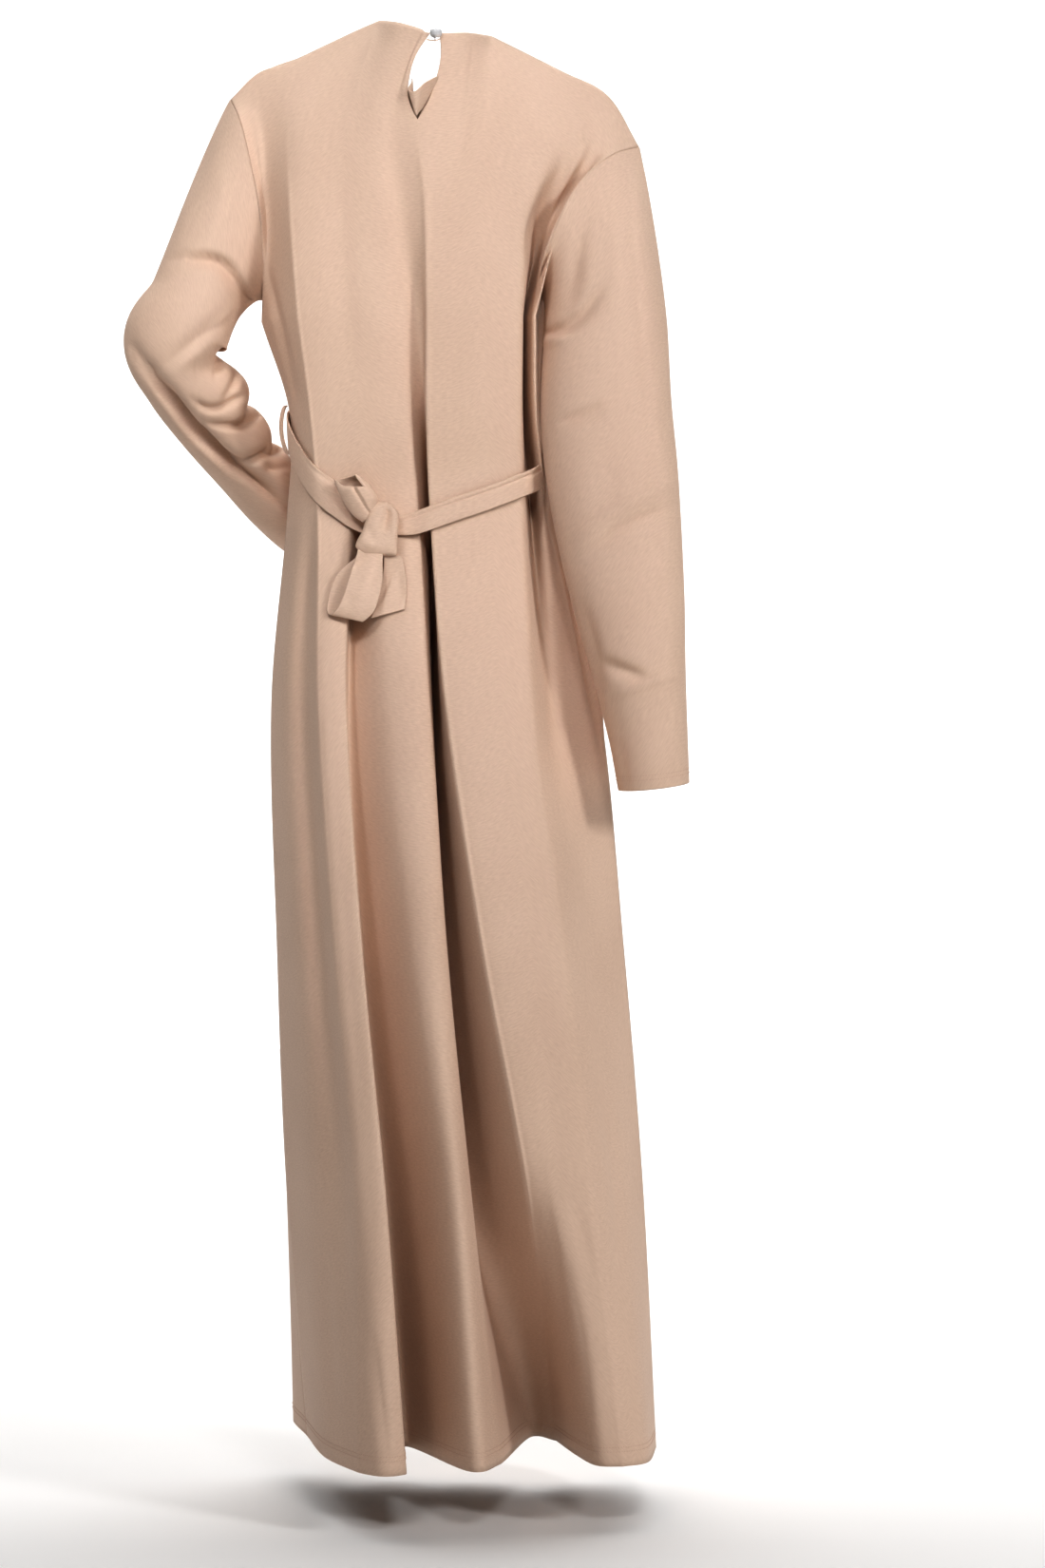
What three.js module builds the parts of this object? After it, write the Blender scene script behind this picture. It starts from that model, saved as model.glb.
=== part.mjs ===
// A worn abaya in plain crepe, as hollow cloth: back and front panels, two long
// sleeves, a keyhole with its facing, ball button and elastic loop, and a tie
// belt knotted at the back. Millimetres, +Z up. The front faces -Y, the
// wearer's left is +X, and the origin is the centre of the neck opening.
import * as THREE from 'three';

// Cloth
const WALL = 1.5;            // crepe with its turned edges, as one wall
const BELT_WALL = 1.8;       // the belt is two layers of the same crepe
const SEAM_SHIFT = 1.8;      // sets a sleeve's edge off the armhole, so that the two walls stay apart
const SIDE_INSET = 0.4;      // half the gap between the panels at a side seam
const HEM_Z = -1468;         // neck to hem: a 58 inch abaya

// Rows of the body: the upper rows are fractions from the neck to the underarm,
// the lower rows are heights.
const UNDERARM_Z = -305;
const KEYHOLE_ROW = 4;
const UPPER_ROWS = [0.008, 0.08, 0.16, 0.24, 0.32, 0.46, 0.6, 0.75, 0.88, 1];
const LOWER_ROWS = [-352, -400, -450, -500, -550, -600, -655, -715, -800, -900, -1000,
  -1100, -1195, -1290, -1380, HEM_Z];
const LEVELS = {
  under: UNDERARM_Z, ribs: -400, waist: -500, hip: -700, thigh: -950, knee: -1200, hem: HEM_Z,
};
const YOKE = 0.32;           // the yoke and blade columns, as fractions from the neck to the underarm
const BLADE = 0.62;
const SHOULDER_TURN = 2.6;   // above 1, the cloth stands out early and turns down over the shoulder
const CORNER_FADE = 0.5;     // fraction over which a corner of the neck edge dies out
const EDGE_STEP = 0.1;       // how far inside a side edge its direction is read, in folds

// One row for each fold line of the back panel, from the left side seam to the
// right. top is [x, y, z] on the neck and shoulder edge; yoke and blade are x;
// the rest are [x, y] at the named levels. crisp 1 is a sharp edge, 0 is round.
const BACK_FOLDS = [
  { name: 'left seam', crisp: 0, top: [211, -5, -73], yoke: 190, blade: 180,
    under: [178, 0], ribs: [149, 0], waist: [152, -8],
    hip: [169, -12], thigh: [164, -25], knee: [155, -40], hem: [134, -60] },
  { name: 'left flank', steps: 3, crisp: 0, top: [183, -5, -46], yoke: 176, blade: 168,
    under: [163, 45], ribs: [141, 42], waist: [137, 38],
    hip: [149, 50], thigh: [136, 60], knee: [119, 75], hem: [109, 80] },
  { name: 'left ridge', crisp: 0.7, top: [152, -5, -35], yoke: 150, blade: 145,
    under: [137, 88], ribs: [125, 80], waist: [117, 70],
    hip: [115, 108], thigh: [98, 122], knee: [76, 150], hem: [71, 178] },
  { name: 'first lobe', crisp: 0, top: [111, -5, -16], yoke: 124, blade: 124,
    under: [118, 92], ribs: [106, 84], waist: [100, 72],
    hip: [98, 112], thigh: [81, 130], knee: [57, 165], hem: [44, 208] },
  { name: 'first lobe edge', steps: 3, crisp: 0.5, top: [81, -4, -2], yoke: 102, blade: 106,
    under: [101, 93], ribs: [90, 85], waist: [85, 72],
    hip: [83, 106], thigh: [69, 118], knee: [44, 138], hem: [25, 168] },
  { name: 'first recess', steps: 3, crisp: 0, corner: 1, top: [56, 0, 8], yoke: 84, blade: 90,
    under: [84, 94], ribs: [73, 86], waist: [69, 71],
    hip: [68, 98], thigh: [56, 88], knee: [27, 48], hem: [17, -6] },
  { name: 'second lobe', steps: 3, crisp: 0, top: [38, 30, -2], yoke: 66, blade: 72,
    under: [63, 95], ribs: [51, 86], waist: [50, 72],
    hip: [41, 108], thigh: [17, 122], knee: [-17, 145], hem: [-39, 170] },
  { name: 'pleat left edge', steps: 3, crisp: 0.3, top: [20, 44, -10], yoke: 50, blade: 50,
    under: [39, 95], ribs: [27, 86], waist: [16, 74],
    hip: [2, 104], thigh: [-15, 112], knee: [-40, 118], hem: [-69, 125] },
  { name: 'pleat bottom', crisp: 0, top: [11, 49, -14], yoke: 36, blade: 30,
    under: [17, 91], ribs: [14, 80], waist: [9, 64],
    hip: [-5, 66], thigh: [-27, 46], knee: [-66, 6], hem: [-104, -54] },
  { name: 'pleat right lip', steps: 3, crisp: 0.8, top: [3, 52, -17], yoke: 15, blade: 7,
    under: [5, 101], ribs: [6, 91], waist: [3, 79],
    hip: [-15, 118], thigh: [-52, 122], knee: [-98, 92], hem: [-127, -30] },
  { name: 'third lobe foot', crisp: 0, top: [-35, 36, -15], yoke: -26, blade: -20,
    under: [-19, 101], ribs: [-22, 91], waist: [-26, 77],
    hip: [-39, 118], thigh: [-72, 126], knee: [-115, 122], hem: [-146, 66] },
  { name: 'third lobe', steps: 3, crisp: 0, corner: 1, top: [-59, 0, -12], yoke: -54, blade: -48,
    under: [-48, 98], ribs: [-53, 88], waist: [-59, 73],
    hip: [-70, 112], thigh: [-101, 122], knee: [-130, 130], hem: [-166, 132] },
  { name: 'right ridge', crisp: 0.7, top: [-131, -6, -43], yoke: -124, blade: -98,
    under: [-91, 86], ribs: [-90, 78], waist: [-92, 66],
    hip: [-102, 98], thigh: [-134, 112], knee: [-161, 122], hem: [-192, 140] },
  { name: 'right flank', crisp: 0, top: [-180, -6, -69], yoke: -160, blade: -124,
    under: [-98, 56], ribs: [-100, 49], waist: [-112, 36],
    hip: [-142, 58], thigh: [-173, 66], knee: [-193, 72], hem: [-218, 112] },
  { name: 'right seam', crisp: 0, top: [-212, -5, -122], yoke: -160, blade: -118,
    under: [-107, 2], ribs: [-108, 0], waist: [-127, -4],
    hip: [-171, -8], thigh: [-196, -8], knee: [-216, -4], hem: [-229, 16] },
];
const SLIT_FOLD = 9;         // the fold whose line runs down from the keyhole

// The front panel, from the right side seam round to the left.
const FRONT_FOLDS = [
  { name: 'right seam', crisp: 0, top: [-212, -5, -122], yoke: -190, blade: -150,
    under: [-107, 2], ribs: [-108, 0], waist: [-127, -4],
    hip: [-171, -8], thigh: [-196, -8], knee: [-216, -4], hem: [-229, 16] },
  { name: 'right flank', crisp: 0, top: [-176, -8, -72], yoke: -160, blade: -136,
    under: [-124, -50], ribs: [-120, -50], waist: [-130, -48],
    hip: [-158, -62], thigh: [-186, -80], knee: [-206, -82], hem: [-222, -78] },
  { name: 'right lobe', crisp: 0, top: [-130, -8, -47], yoke: -128, blade: -118,
    under: [-108, -92], ribs: [-98, -86], waist: [-96, -80],
    hip: [-116, -104], thigh: [-142, -132], knee: [-164, -150], hem: [-176, -172] },
  { name: 'right valley', crisp: 0, top: [-92, -7, -28], yoke: -84, blade: -76,
    under: [-68, -104], ribs: [-62, -94], waist: [-60, -88],
    hip: [-70, -108], thigh: [-88, -122], knee: [-104, -124], hem: [-112, -128] },
  { name: 'neck right corner', crisp: 0, corner: 1, top: [-59, -1, -12.5], yoke: -52, blade: -46,
    under: [-40, -109], ribs: [-36, -98], waist: [-34, -91],
    hip: [-42, -114], thigh: [-52, -132], knee: [-64, -142], hem: [-70, -150] },
  { name: 'centre right lobe', crisp: 0, top: [-36, -44, -55], yoke: -25, blade: -22,
    under: [-17, -111], ribs: [-14, -99], waist: [-13, -92],
    hip: [-18, -117], thigh: [-24, -138], knee: [-32, -156], hem: [-36, -176] },
  { name: 'centre valley', crisp: 0, top: [-1, -60, -76], yoke: 4, blade: 6,
    under: [8, -111], ribs: [9, -99], waist: [9, -92],
    hip: [9, -114], thigh: [6, -128], knee: [4, -138], hem: [2, -148] },
  { name: 'centre left lobe', crisp: 0, top: [34, -44, -48], yoke: 32, blade: 32,
    under: [32, -110], ribs: [31, -98], waist: [30, -92],
    hip: [32, -117], thigh: [34, -140], knee: [38, -162], hem: [40, -184] },
  { name: 'neck left corner', crisp: 0, corner: 1, top: [56, -1, 7.5], yoke: 62, blade: 60,
    under: [58, -107], ribs: [55, -97], waist: [52, -91],
    hip: [56, -114], thigh: [60, -134], knee: [66, -152], hem: [68, -168] },
  { name: 'left valley', crisp: 0, top: [92, -7, -8], yoke: 96, blade: 96,
    under: [94, -102], ribs: [84, -94], waist: [80, -88],
    hip: [84, -110], thigh: [88, -122], knee: [90, -136], hem: [92, -150] },
  { name: 'left lobe', crisp: 0, top: [134, -7, -27], yoke: 134, blade: 134,
    under: [130, -86], ribs: [114, -84], waist: [112, -78],
    hip: [126, -106], thigh: [130, -142], knee: [132, -184], hem: [132, -232] },
  { name: 'left flank', crisp: 0, top: [176, -7, -43], yoke: 166, blade: 164,
    under: [160, -48], ribs: [138, -46], waist: [140, -46],
    hip: [158, -62], thigh: [158, -88], knee: [157, -128], hem: [155, -180] },
  { name: 'left seam', crisp: 0, top: [211, -5, -73], yoke: 176, blade: 168,
    under: [178, 0], ribs: [149, 0], waist: [152, -8],
    hip: [169, -12], thigh: [164, -25], knee: [155, -40], hem: [134, -60] },
];

// Armhole edges from the shoulder tip to the underarm, [x, y, z] in even steps.
const ARMHOLES = {
  leftBack: [[211, -5, -73], [200, 24, -98], [189, 42, -140],
    [178, 47, -200], [175, 34, -256], [178, 0, UNDERARM_Z]],
  leftFront: [[211, -5, -73], [194, -34, -104], [176, -48, -150],
    [168, -50, -204], [170, -34, -258], [178, 0, UNDERARM_Z]],
  rightBack: [[-212, -5, -122], [-184, 34, -136], [-152, 62, -166],
    [-126, 76, -212], [-109, 58, -262], [-107, 2, UNDERARM_Z]],
  rightFront: [[-212, -5, -122], [-200, -34, -142], [-182, -54, -176],
    [-156, -58, -222], [-128, -38, -274], [-107, 2, UNDERARM_Z]],
};

// Keyhole: half-round above, its foot at the slit fold. across is x of each
// side at fractions of the way down.
const KEYHOLE = {
  at: [0, 0.25, 0.5, 0.75, 1],
  left: [3, 12, 20, 24, 15],
  right: [-7, -7, -4, 3, 15],
  spread: 1.2,               // folds beside the slit that move with it
};

// Sleeves: one row for each section from the armhole to the cuff. at is the
// centre, out points to the sleeve's outer edge, wide and deep are half sizes.
const LEFT_SLEEVE = [
  { at: [208, 2, -192], out: [1, 0, 0.25], wide: 66, deep: 50 },
  { at: [226, 12, -240], out: [1, 0, 0.3], wide: 55, deep: 52 },
  { at: [246, 26, -286], out: [1, 0.05, 0.35], wide: 50, deep: 50 },
  { at: [264, 34, -330], out: [1, 0.15, 0], wide: 50, deep: 47 },
  { at: [260, 18, -372], out: [0.9, 0.25, -0.5], wide: 50, deep: 44 },
  { at: [233, -14, -412], out: [0.7, 0.25, -0.75], wide: 47, deep: 42 },
  { at: [200, -50, -450], out: [0.6, 0.25, -0.8], wide: 46, deep: 40 },
  { at: [168, -88, -486], out: [0.55, 0.2, -0.8], wide: 45, deep: 38 },
  { at: [134, -128, -508], out: [0.4, 0.1, -0.9], wide: 44, deep: 32 },
  { at: [92, -152, -518], out: [0.2, 0, -1], wide: 40, deep: 26 },
  { at: [60, -158, -522], out: [0.1, 0, -1], wide: 36, deep: 24 },
];
const RIGHT_SLEEVE = [
  { at: [-172, 2, -205], out: [-1, 0, 0.4], wide: 56, deep: 60 },
  { at: [-177, 22, -264], out: [-1, 0, 0.2], wide: 60, deep: 56 },
  { at: [-177, 36, -330], out: [-1, 0, 0.1], wide: 64, deep: 53 },
  { at: [-177, 48, -396], out: [-1, 0, 0.06], wide: 67, deep: 51 },
  { at: [-183, 57, -464], out: [-1, 0, 0.08], wide: 67, deep: 49 },
  { at: [-191, 64, -532], out: [-1, 0, 0.1], wide: 63, deep: 47 },
  { at: [-201, 67, -602], out: [-1, 0, 0.12], wide: 56, deep: 45 },
  { at: [-211, 65, -670], out: [-1, 0, 0.12], wide: 47, deep: 43 },
  { at: [-220, 59, -732], out: [-1, 0, 0.12], wide: 40, deep: 40 },
  { at: [-226, 54, -785], out: [-1, 0, 0.1], wide: 36, deep: 38 },
];
const SLEEVE_SIDES = 18;
const LEFT_AWAY = [1, 0, -0.1]; // the way a sleeve's edge moves off its armhole
const RIGHT_AWAY = [-1.3, 0, -0.6];
const BLEND = 0.2;           // share of a sleeve over which the armhole becomes its section
const LEFT_SLEEVE_RINGS = 24;
const RIGHT_SLEEVE_RINGS = 16;
const AHEAD = 0.02;          // share of a tube over which its direction is read

// Cloth bunched inside the left elbow: rolls across the forearm.
const ELBOW_ROLLS = { from: 0.36, to: 0.8, count: 4, height: 5, centre: 0.5 };

// Tie belt. Each station sits on a fold line of a panel, at height z.
const BELT = {
  stand: 4,                  // off the panels
  steps: 60,
  reach: 0.5,                // folds to each side over which its outward direction is read
  stations: [
    { panel: 'back', fold: 5.4, z: -518, half: 12 },
    { panel: 'back', fold: 5, z: -514, half: 14 },
    { panel: 'back', fold: 4, z: -504, half: 18 },
    { panel: 'back', fold: 3, z: -492, half: 19 },
    { panel: 'back', fold: 2, z: -476, half: 19 },
    { panel: 'back', fold: 1, z: -446, half: 18 },
    { panel: 'back', fold: 0, z: -416, half: 16 },
    { panel: 'front', fold: 11, z: -404, half: 17 },
    { panel: 'front', fold: 10, z: -400, half: 19 },
    { panel: 'front', fold: 9, z: -400, half: 19 },
    { panel: 'front', fold: 8, z: -401, half: 19 },
    { panel: 'front', fold: 6, z: -403, half: 19 },
    { panel: 'front', fold: 4, z: -407, half: 19 },
    { panel: 'front', fold: 3, z: -412, half: 19 },
    { panel: 'front', fold: 2, z: -419, half: 18 },
    { panel: 'front', fold: 1, z: -430, half: 16 },
    { panel: 'front', fold: 0, z: -445, half: 13 },
    { panel: 'back', fold: 13, z: -466, half: 12 },
    { panel: 'back', fold: 12, z: -477, half: 12 },
    { panel: 'back', fold: 11, z: -491, half: 12 },
    { panel: 'back', fold: 10, z: -505, half: 12 },
    { panel: 'back', fold: 9, z: -515, half: 12 },
    { panel: 'back', fold: 7, z: -520, half: 11 },
    { panel: 'back', fold: 6.3, z: -520, half: 9 },
  ],
};

// The knot and what hangs from it, set off the back panel at the waist.
const KNOT = [
  { at: [51, 87.4, -496], wide: 7, deep: 3 },
  { at: [55, 87.4, -504], wide: 14, deep: 8 },
  { at: [51, 87.4, -514], wide: 17, deep: 9.5 },
  { at: [53, 87.4, -528], wide: 18.5, deep: 9.5 },
  { at: [57, 88.4, -541], wide: 20, deep: 8.5 },
  { at: [51, 89.6, -549], wide: 14, deep: 3 },
];
const KNOT_SIDES = 14;
const BOW_SIDES = 14;
const BOW_RINGS = 6;
const STRIP_COLUMNS = 3;
const BOW_STEPS = 20;
const TAIL_STEPS = 6;
const BOW_UPPER = [
  { at: [69, 86, -499], out: [-1, 0, 1], wide: 8, deep: 5 },
  { at: [77, 86.5, -489], out: [-1, 0, 1], wide: 12.5, deep: 8.5 },
  { at: [88, 87.7, -477], out: [-1, 0, 1], wide: 13, deep: 9.5 },
];
const BOW_LOWER = [
  { left: [75, 94.2, -544.5], right: [50, 94.4, -549.4] },
  { left: [91, 102, -574], right: [51, 103, -580] },
  { left: [106, 104.5, -603], right: [60, 106.5, -609] },
  { left: [107, 100, -614], right: [70, 103.5, -619] },
  { left: [103, 95, -603], right: [60, 98, -609] },
  { left: [90, 92.4, -574], right: [51, 94, -580] },
  { left: [75, 91.4, -552.5], right: [52, 91.6, -553.5] },
];
const BELT_TAIL = [
  { left: [49, 88.6, -550.1], right: [35, 88.2, -549.6] },
  { left: [50, 88, -568], right: [30, 88.2, -556] },
  { left: [56, 90.6, -592], right: [26, 90.8, -584] },
  { left: [62, 96.6, -615], right: [28, 95.6, -606] },
];

// Belt carriers at the side seams: a strip that stands off for the belt.
const CARRIER = { height: 50, foot: 3, stand: 8, round: 0.6, width: 7, wall: 1.4, steps: 8 };
const CARRIERS = { carrier_left: -416, carrier_right: -446 };

// Facing at the foot of the keyhole, sprung out of the slit as a V.
const FACING = {
  wall: 1,
  rows: 6,
  columns: 9,
  reach: 0.92,               // share of the way from its top edge to the tip
  tip: [15, 81.2, -105],
  top: [[21, 73, -62], [26, 76.6, -77], [20, 83.2, -82], [12, 89.2, -77], [5, 86.2, -71], [-4, 74.6, -65]],
};

// Ball button on a shank, and the elastic that goes round the shank.
const BUTTON = { at: [-3, 55, -14], radius: 5.8, shank: 1.6, length: 9, rings: 10, sides: 16 };
const ELASTIC = {
  radius: 0.7,
  sides: 8,
  steps: 16,
  path: [[6.5, 55.8, -21], [2, 56.6, -22], [-3, 56.8, -22], [-8, 56.4, -20], [-10.5, 54.9, -16]],
};

const COLOURS = { crepe: 0xd3b09a, crepeDeep: 0xb98f7a, metal: 0xd9dade, elastic: 0xe8ded4 };

const mix = (a, b, t) => a + (b - a) * t;
const mixPoint = (a, b, t) => a.map((v, i) => mix(v, b[i], t));

// A share of 0 to 1 that leaves 0 and reaches 1 slowly.
function smooth(t) {
  const share = Math.min(1, Math.max(0, t));
  return share * share * (3 - 2 * share);
}

// A cubic through values at knots. crisp per knot turns its tangent towards
// the straight line on each side, which makes a sharp edge there.
function curveThrough(knots, values, crisp = []) {
  const n = knots.length;
  const slope = (i) => (values[i + 1] - values[i]) / (knots[i + 1] - knots[i]);
  const round = (i) => {
    if (i === 0) return slope(0);
    if (i === n - 1) return slope(n - 2);
    return (values[i + 1] - values[i - 1]) / (knots[i + 1] - knots[i - 1]);
  };
  return (at) => {
    let i = 0;
    while (i < n - 2 && (at - knots[i + 1]) * Math.sign(knots[n - 1] - knots[0]) > 0) i += 1;
    const span = knots[i + 1] - knots[i];
    const t = (at - knots[i]) / span;
    const start = mix(round(i), slope(i), crisp[i] ?? 0) * span;
    const end = mix(round(i + 1), slope(i), crisp[i + 1] ?? 0) * span;
    const t2 = t * t;
    const t3 = t2 * t;
    return (2 * t3 - 3 * t2 + 1) * values[i] + (t3 - 2 * t2 + t) * start
      + (3 * t2 - 2 * t3) * values[i + 1] + (t3 - t2) * end;
  };
}

// A smooth path through points, as a function of 0..1 along them.
function pathThrough(points, crisp = []) {
  const knots = points.map((_, i) => i / (points.length - 1));
  const axes = [0, 1, 2].map((axis) => curveThrough(knots, points.map((p) => p[axis]), crisp));
  return (t) => axes.map((axis) => axis(t));
}

// Where each fold line lies at a height below the underarm.
function foldAtHeight(fold, z) {
  const names = Object.keys(LEVELS);
  const knots = names.map((name) => LEVELS[name]);
  return [0, 1].map((axis) => curveThrough(knots, names.map((name) => fold[name][axis]))(z));
}

// A point of a panel below the underarm: across is the fold number, with
// fractions between folds.
function lowerPoint(folds, across, z) {
  const spots = folds.map((fold) => foldAtHeight(fold, z));
  const knots = folds.map((_, i) => i);
  const crisp = folds.map((fold) => fold.crisp);
  const [x, y] = [0, 1].map((axis) => curveThrough(knots, spots.map((s) => s[axis]), crisp)(across));
  return [x, y, z];
}

// A point of a panel above the underarm. down runs 0..1 from the neck and
// shoulder edge. The cloth leaves the shoulder steeply and turns down.
function upperPoint(folds, across, down, armholes) {
  const spots = folds.map((fold, i) => {
    if (i === 0) return pathThrough(armholes[0])(down);
    if (i === folds.length - 1) return pathThrough(armholes[1])(down);
    const x = curveThrough([0, YOKE, BLADE, 1], [fold.top[0], fold.yoke, fold.blade, fold.under[0]])(down);
    const bulge = 1 - (1 - down) ** SHOULDER_TURN;
    return [x, mix(fold.top[1], fold.under[1], bulge), mix(fold.top[2], UNDERARM_Z, down)];
  });
  const knots = folds.map((_, i) => i);
  const crisp = folds.map((fold) => mix(fold.corner ?? 0, fold.crisp, smooth(down / CORNER_FADE)));
  return [0, 1, 2].map((axis) => curveThrough(knots, spots.map((s) => s[axis]), crisp)(across));
}

// A grid of points with its faces. rows x columns points; wrap joins the last
// column to the first.
function gridSheet(rows, columns, pointAt, wrap = false) {
  const points = [];
  const faces = [];
  for (let k = 0; k < rows * columns; k += 1) {
    points.push(pointAt(k % columns, Math.floor(k / columns)));
  }
  const across = wrap ? columns : columns - 1;
  for (let j = 0; j < rows - 1; j += 1) {
    for (let i = 0; i < across; i += 1) {
      const a = j * columns + i;
      const b = j * columns + (i + 1) % columns;
      faces.push([a, a + columns, b + columns], [a, b + columns, b]);
    }
  }
  return { points, faces };
}

// Joins sheets into one where their points coincide.
function joinSheets(sheets) {
  const points = [];
  const faces = [];
  const seen = new Map();
  for (const sheet of sheets) {
    const map = sheet.points.map((p) => {
      const key = p.map((v) => v.toFixed(3)).join();
      if (!seen.has(key)) seen.set(key, points.push(p) - 1);
      return seen.get(key);
    });
    for (const face of sheet.faces) faces.push(face.map((k) => map[k]));
  }
  return { points, faces };
}

// The unit normal at each point of a sheet.
function sheetNormals({ points, faces }) {
  const normals = points.map(() => new THREE.Vector3());
  for (const [a, b, c] of faces) {
    const pa = new THREE.Vector3(...points[a]);
    const n = new THREE.Vector3(...points[b]).sub(pa)
      .cross(new THREE.Vector3(...points[c]).sub(pa));
    for (const k of [a, b, c]) normals[k].add(n);
  }
  return normals.map((n) => n.normalize());
}

// Gives a sheet its wall: one skin half a wall out, one half a wall in, and a
// rim along each edge that only one face uses.
function wallOf(sheet, wall = WALL) {
  const { points, faces } = sheet;
  const normals = sheetNormals(sheet);
  const count = points.length;
  const skin = (side) => points.map((p, k) => p
    .map((v, axis) => v + side * normals[k].getComponent(axis) * wall / 2));
  const triangles = [...faces, ...faces.map(([a, b, c]) => [c + count, b + count, a + count])];
  const uses = new Map();
  for (const [a, b, c] of faces) {
    for (const [p, q] of [[a, b], [b, c], [c, a]]) {
      const key = p < q ? `${p},${q}` : `${q},${p}`;
      uses.set(key, uses.has(key) ? null : [p, q]);
    }
  }
  for (const edge of uses.values()) {
    if (!edge) continue;
    const [p, q] = edge;
    triangles.push([q, p, p + count], [q, p + count, q + count]);
  }
  return bodyOf([...skin(1), ...skin(-1)], triangles);
}

// A body with its own faces, from points and triangles.
function bodyOf(points, triangles) {
  const geometry = new THREE.BufferGeometry();
  geometry.setAttribute('position', new THREE.Float32BufferAttribute(points.flat(), 3));
  geometry.setIndex(triangles.flat());
  geometry.computeVertexNormals();
  return geometry;
}

// Columns across a panel: each fold line and even steps up to the next one.
function columnsFor(folds) {
  const columns = folds.slice(0, -1).flatMap((fold, i) => {
    const steps = fold.steps ?? 2;
    return Array.from({ length: steps }, (_, k) => i + k / steps);
  });
  return [...columns, folds.length - 1];
}

// A panel point, with the side edges drawn in by half a seam's gap.
function panelPoint(folds, armholes, across, row) {
  const at = (u) => (row < UPPER_ROWS.length
    ? upperPoint(folds, u, UPPER_ROWS[row], armholes)
    : lowerPoint(folds, u, LOWER_ROWS[row - UPPER_ROWS.length]));
  const last = folds.length - 1;
  if (across > 0 && across < last) return at(across);
  const edge = new THREE.Vector3(...at(across));
  const next = at(across === 0 ? EDGE_STEP : last - EDGE_STEP);
  const inside = new THREE.Vector3(...next).sub(edge).normalize();
  return edge.addScaledVector(inside, SIDE_INSET).toArray();
}

const ROWS = UPPER_ROWS.length + LOWER_ROWS.length;
const BACK_ARMHOLES = [ARMHOLES.leftBack, ARMHOLES.rightBack];
const FRONT_ARMHOLES = [ARMHOLES.rightFront, ARMHOLES.leftFront];

// The back panel is two grids that meet along the slit fold below the keyhole.
function backSheet() {
  const side = (from, to, edge) => {
    const columns = columnsFor(BACK_FOLDS).filter((u) => u >= from && u <= to);
    return gridSheet(ROWS, columns.length, (i, j) => {
      const point = panelPoint(BACK_FOLDS, BACK_ARMHOLES, columns[i], j);
      if (j < KEYHOLE_ROW) {
        const near = Math.max(0, 1 - Math.abs(columns[i] - SLIT_FOLD) / KEYHOLE.spread);
        const x = curveThrough(KEYHOLE.at, KEYHOLE[edge])(j / KEYHOLE_ROW);
        const centre = panelPoint(BACK_FOLDS, BACK_ARMHOLES, SLIT_FOLD, j);
        point[0] += (x - centre[0]) * near;
      }
      return point;
    });
  };
  return joinSheets([side(0, SLIT_FOLD, 'left'), side(SLIT_FOLD, BACK_FOLDS.length, 'right')]);
}

function frontSheet() {
  const columns = columnsFor(FRONT_FOLDS);
  const pointAt = (i, j) => panelPoint(FRONT_FOLDS, FRONT_ARMHOLES, columns[i], j);
  return gridSheet(ROWS, columns.length, pointAt);
}

// The armhole as a closed ring, starting under the arm and going up the back,
// moved off the panels towards the sleeve.
function armholeRing(back, front, away) {
  const backEdge = pathThrough(back);
  const frontEdge = pathThrough(front);
  return (turn) => (turn <= 0.5 ? backEdge(1 - turn * 2) : frontEdge(turn * 2 - 1))
    .map((v, axis) => v + away[axis] * SEAM_SHIFT);
}

// A tube through sections square to its centre line. turn 0 is the inner edge.
function tubePoint(sections) {
  const centre = pathThrough(sections.map((s) => s.at));
  const out = pathThrough(sections.map((s) => s.out));
  const size = pathThrough(sections.map((s) => [s.wide, s.deep, 0]));
  return (turn, along, lift = 0) => {
    const ahead = new THREE.Vector3(...centre(Math.min(1, along + AHEAD)))
      .sub(new THREE.Vector3(...centre(Math.max(0, along - AHEAD)))).normalize();
    const outer = new THREE.Vector3(...out(along));
    outer.addScaledVector(ahead, -outer.dot(ahead)).normalize();
    const rear = new THREE.Vector3().crossVectors(outer, ahead);
    if (rear.y < 0) rear.negate();
    const [wide, deep] = size(along);
    const angle = turn * Math.PI * 2;
    return new THREE.Vector3(...centre(along))
      .addScaledVector(outer, -Math.cos(angle) * (wide + lift))
      .addScaledVector(rear, Math.sin(angle) * (deep + lift));
  };
}

// A sleeve begins as the armhole and becomes its sections.
function sleeveSheet(sections, ring, rings, rolls) {
  const tube = tubePoint(sections);
  return gridSheet(rings, SLEEVE_SIDES, (i, j) => {
    const turn = i / SLEEVE_SIDES;
    const along = j / (rings - 1);
    let lift = 0;
    if (rolls && along > rolls.from && along < rolls.to) {
      const phase = (along - rolls.from) / (rolls.to - rolls.from);
      const inner = Math.max(0, Math.cos(turn * Math.PI * 2 - rolls.centre));
      const swell = Math.sin(phase * Math.PI);
      lift = rolls.height * inner * swell * Math.sin(phase * rolls.count * Math.PI * 2);
    }
    return new THREE.Vector3(...ring(turn))
      .lerp(tube(turn, along, lift), smooth(along / BLEND)).toArray();
  }, true);
}

// A solid lofted through rings of points, closed at both ends.
function loftBody(rings) {
  const sides = rings[0].length;
  const points = rings.flat();
  const { faces } = gridSheet(rings.length, sides, () => [0, 0, 0], true);
  const centreOf = (ring) => [0, 1, 2]
    .map((axis) => ring.reduce((sum, p) => sum + p[axis], 0) / ring.length);
  const first = points.push(centreOf(rings[0])) - 1;
  const last = points.push(centreOf(rings[rings.length - 1])) - 1;
  const start = (rings.length - 1) * sides;
  for (let i = 0; i < sides; i += 1) {
    const next = (i + 1) % sides;
    faces.push([first, i, next], [last, start + next, start + i]);
  }
  return { points, faces };
}

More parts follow.
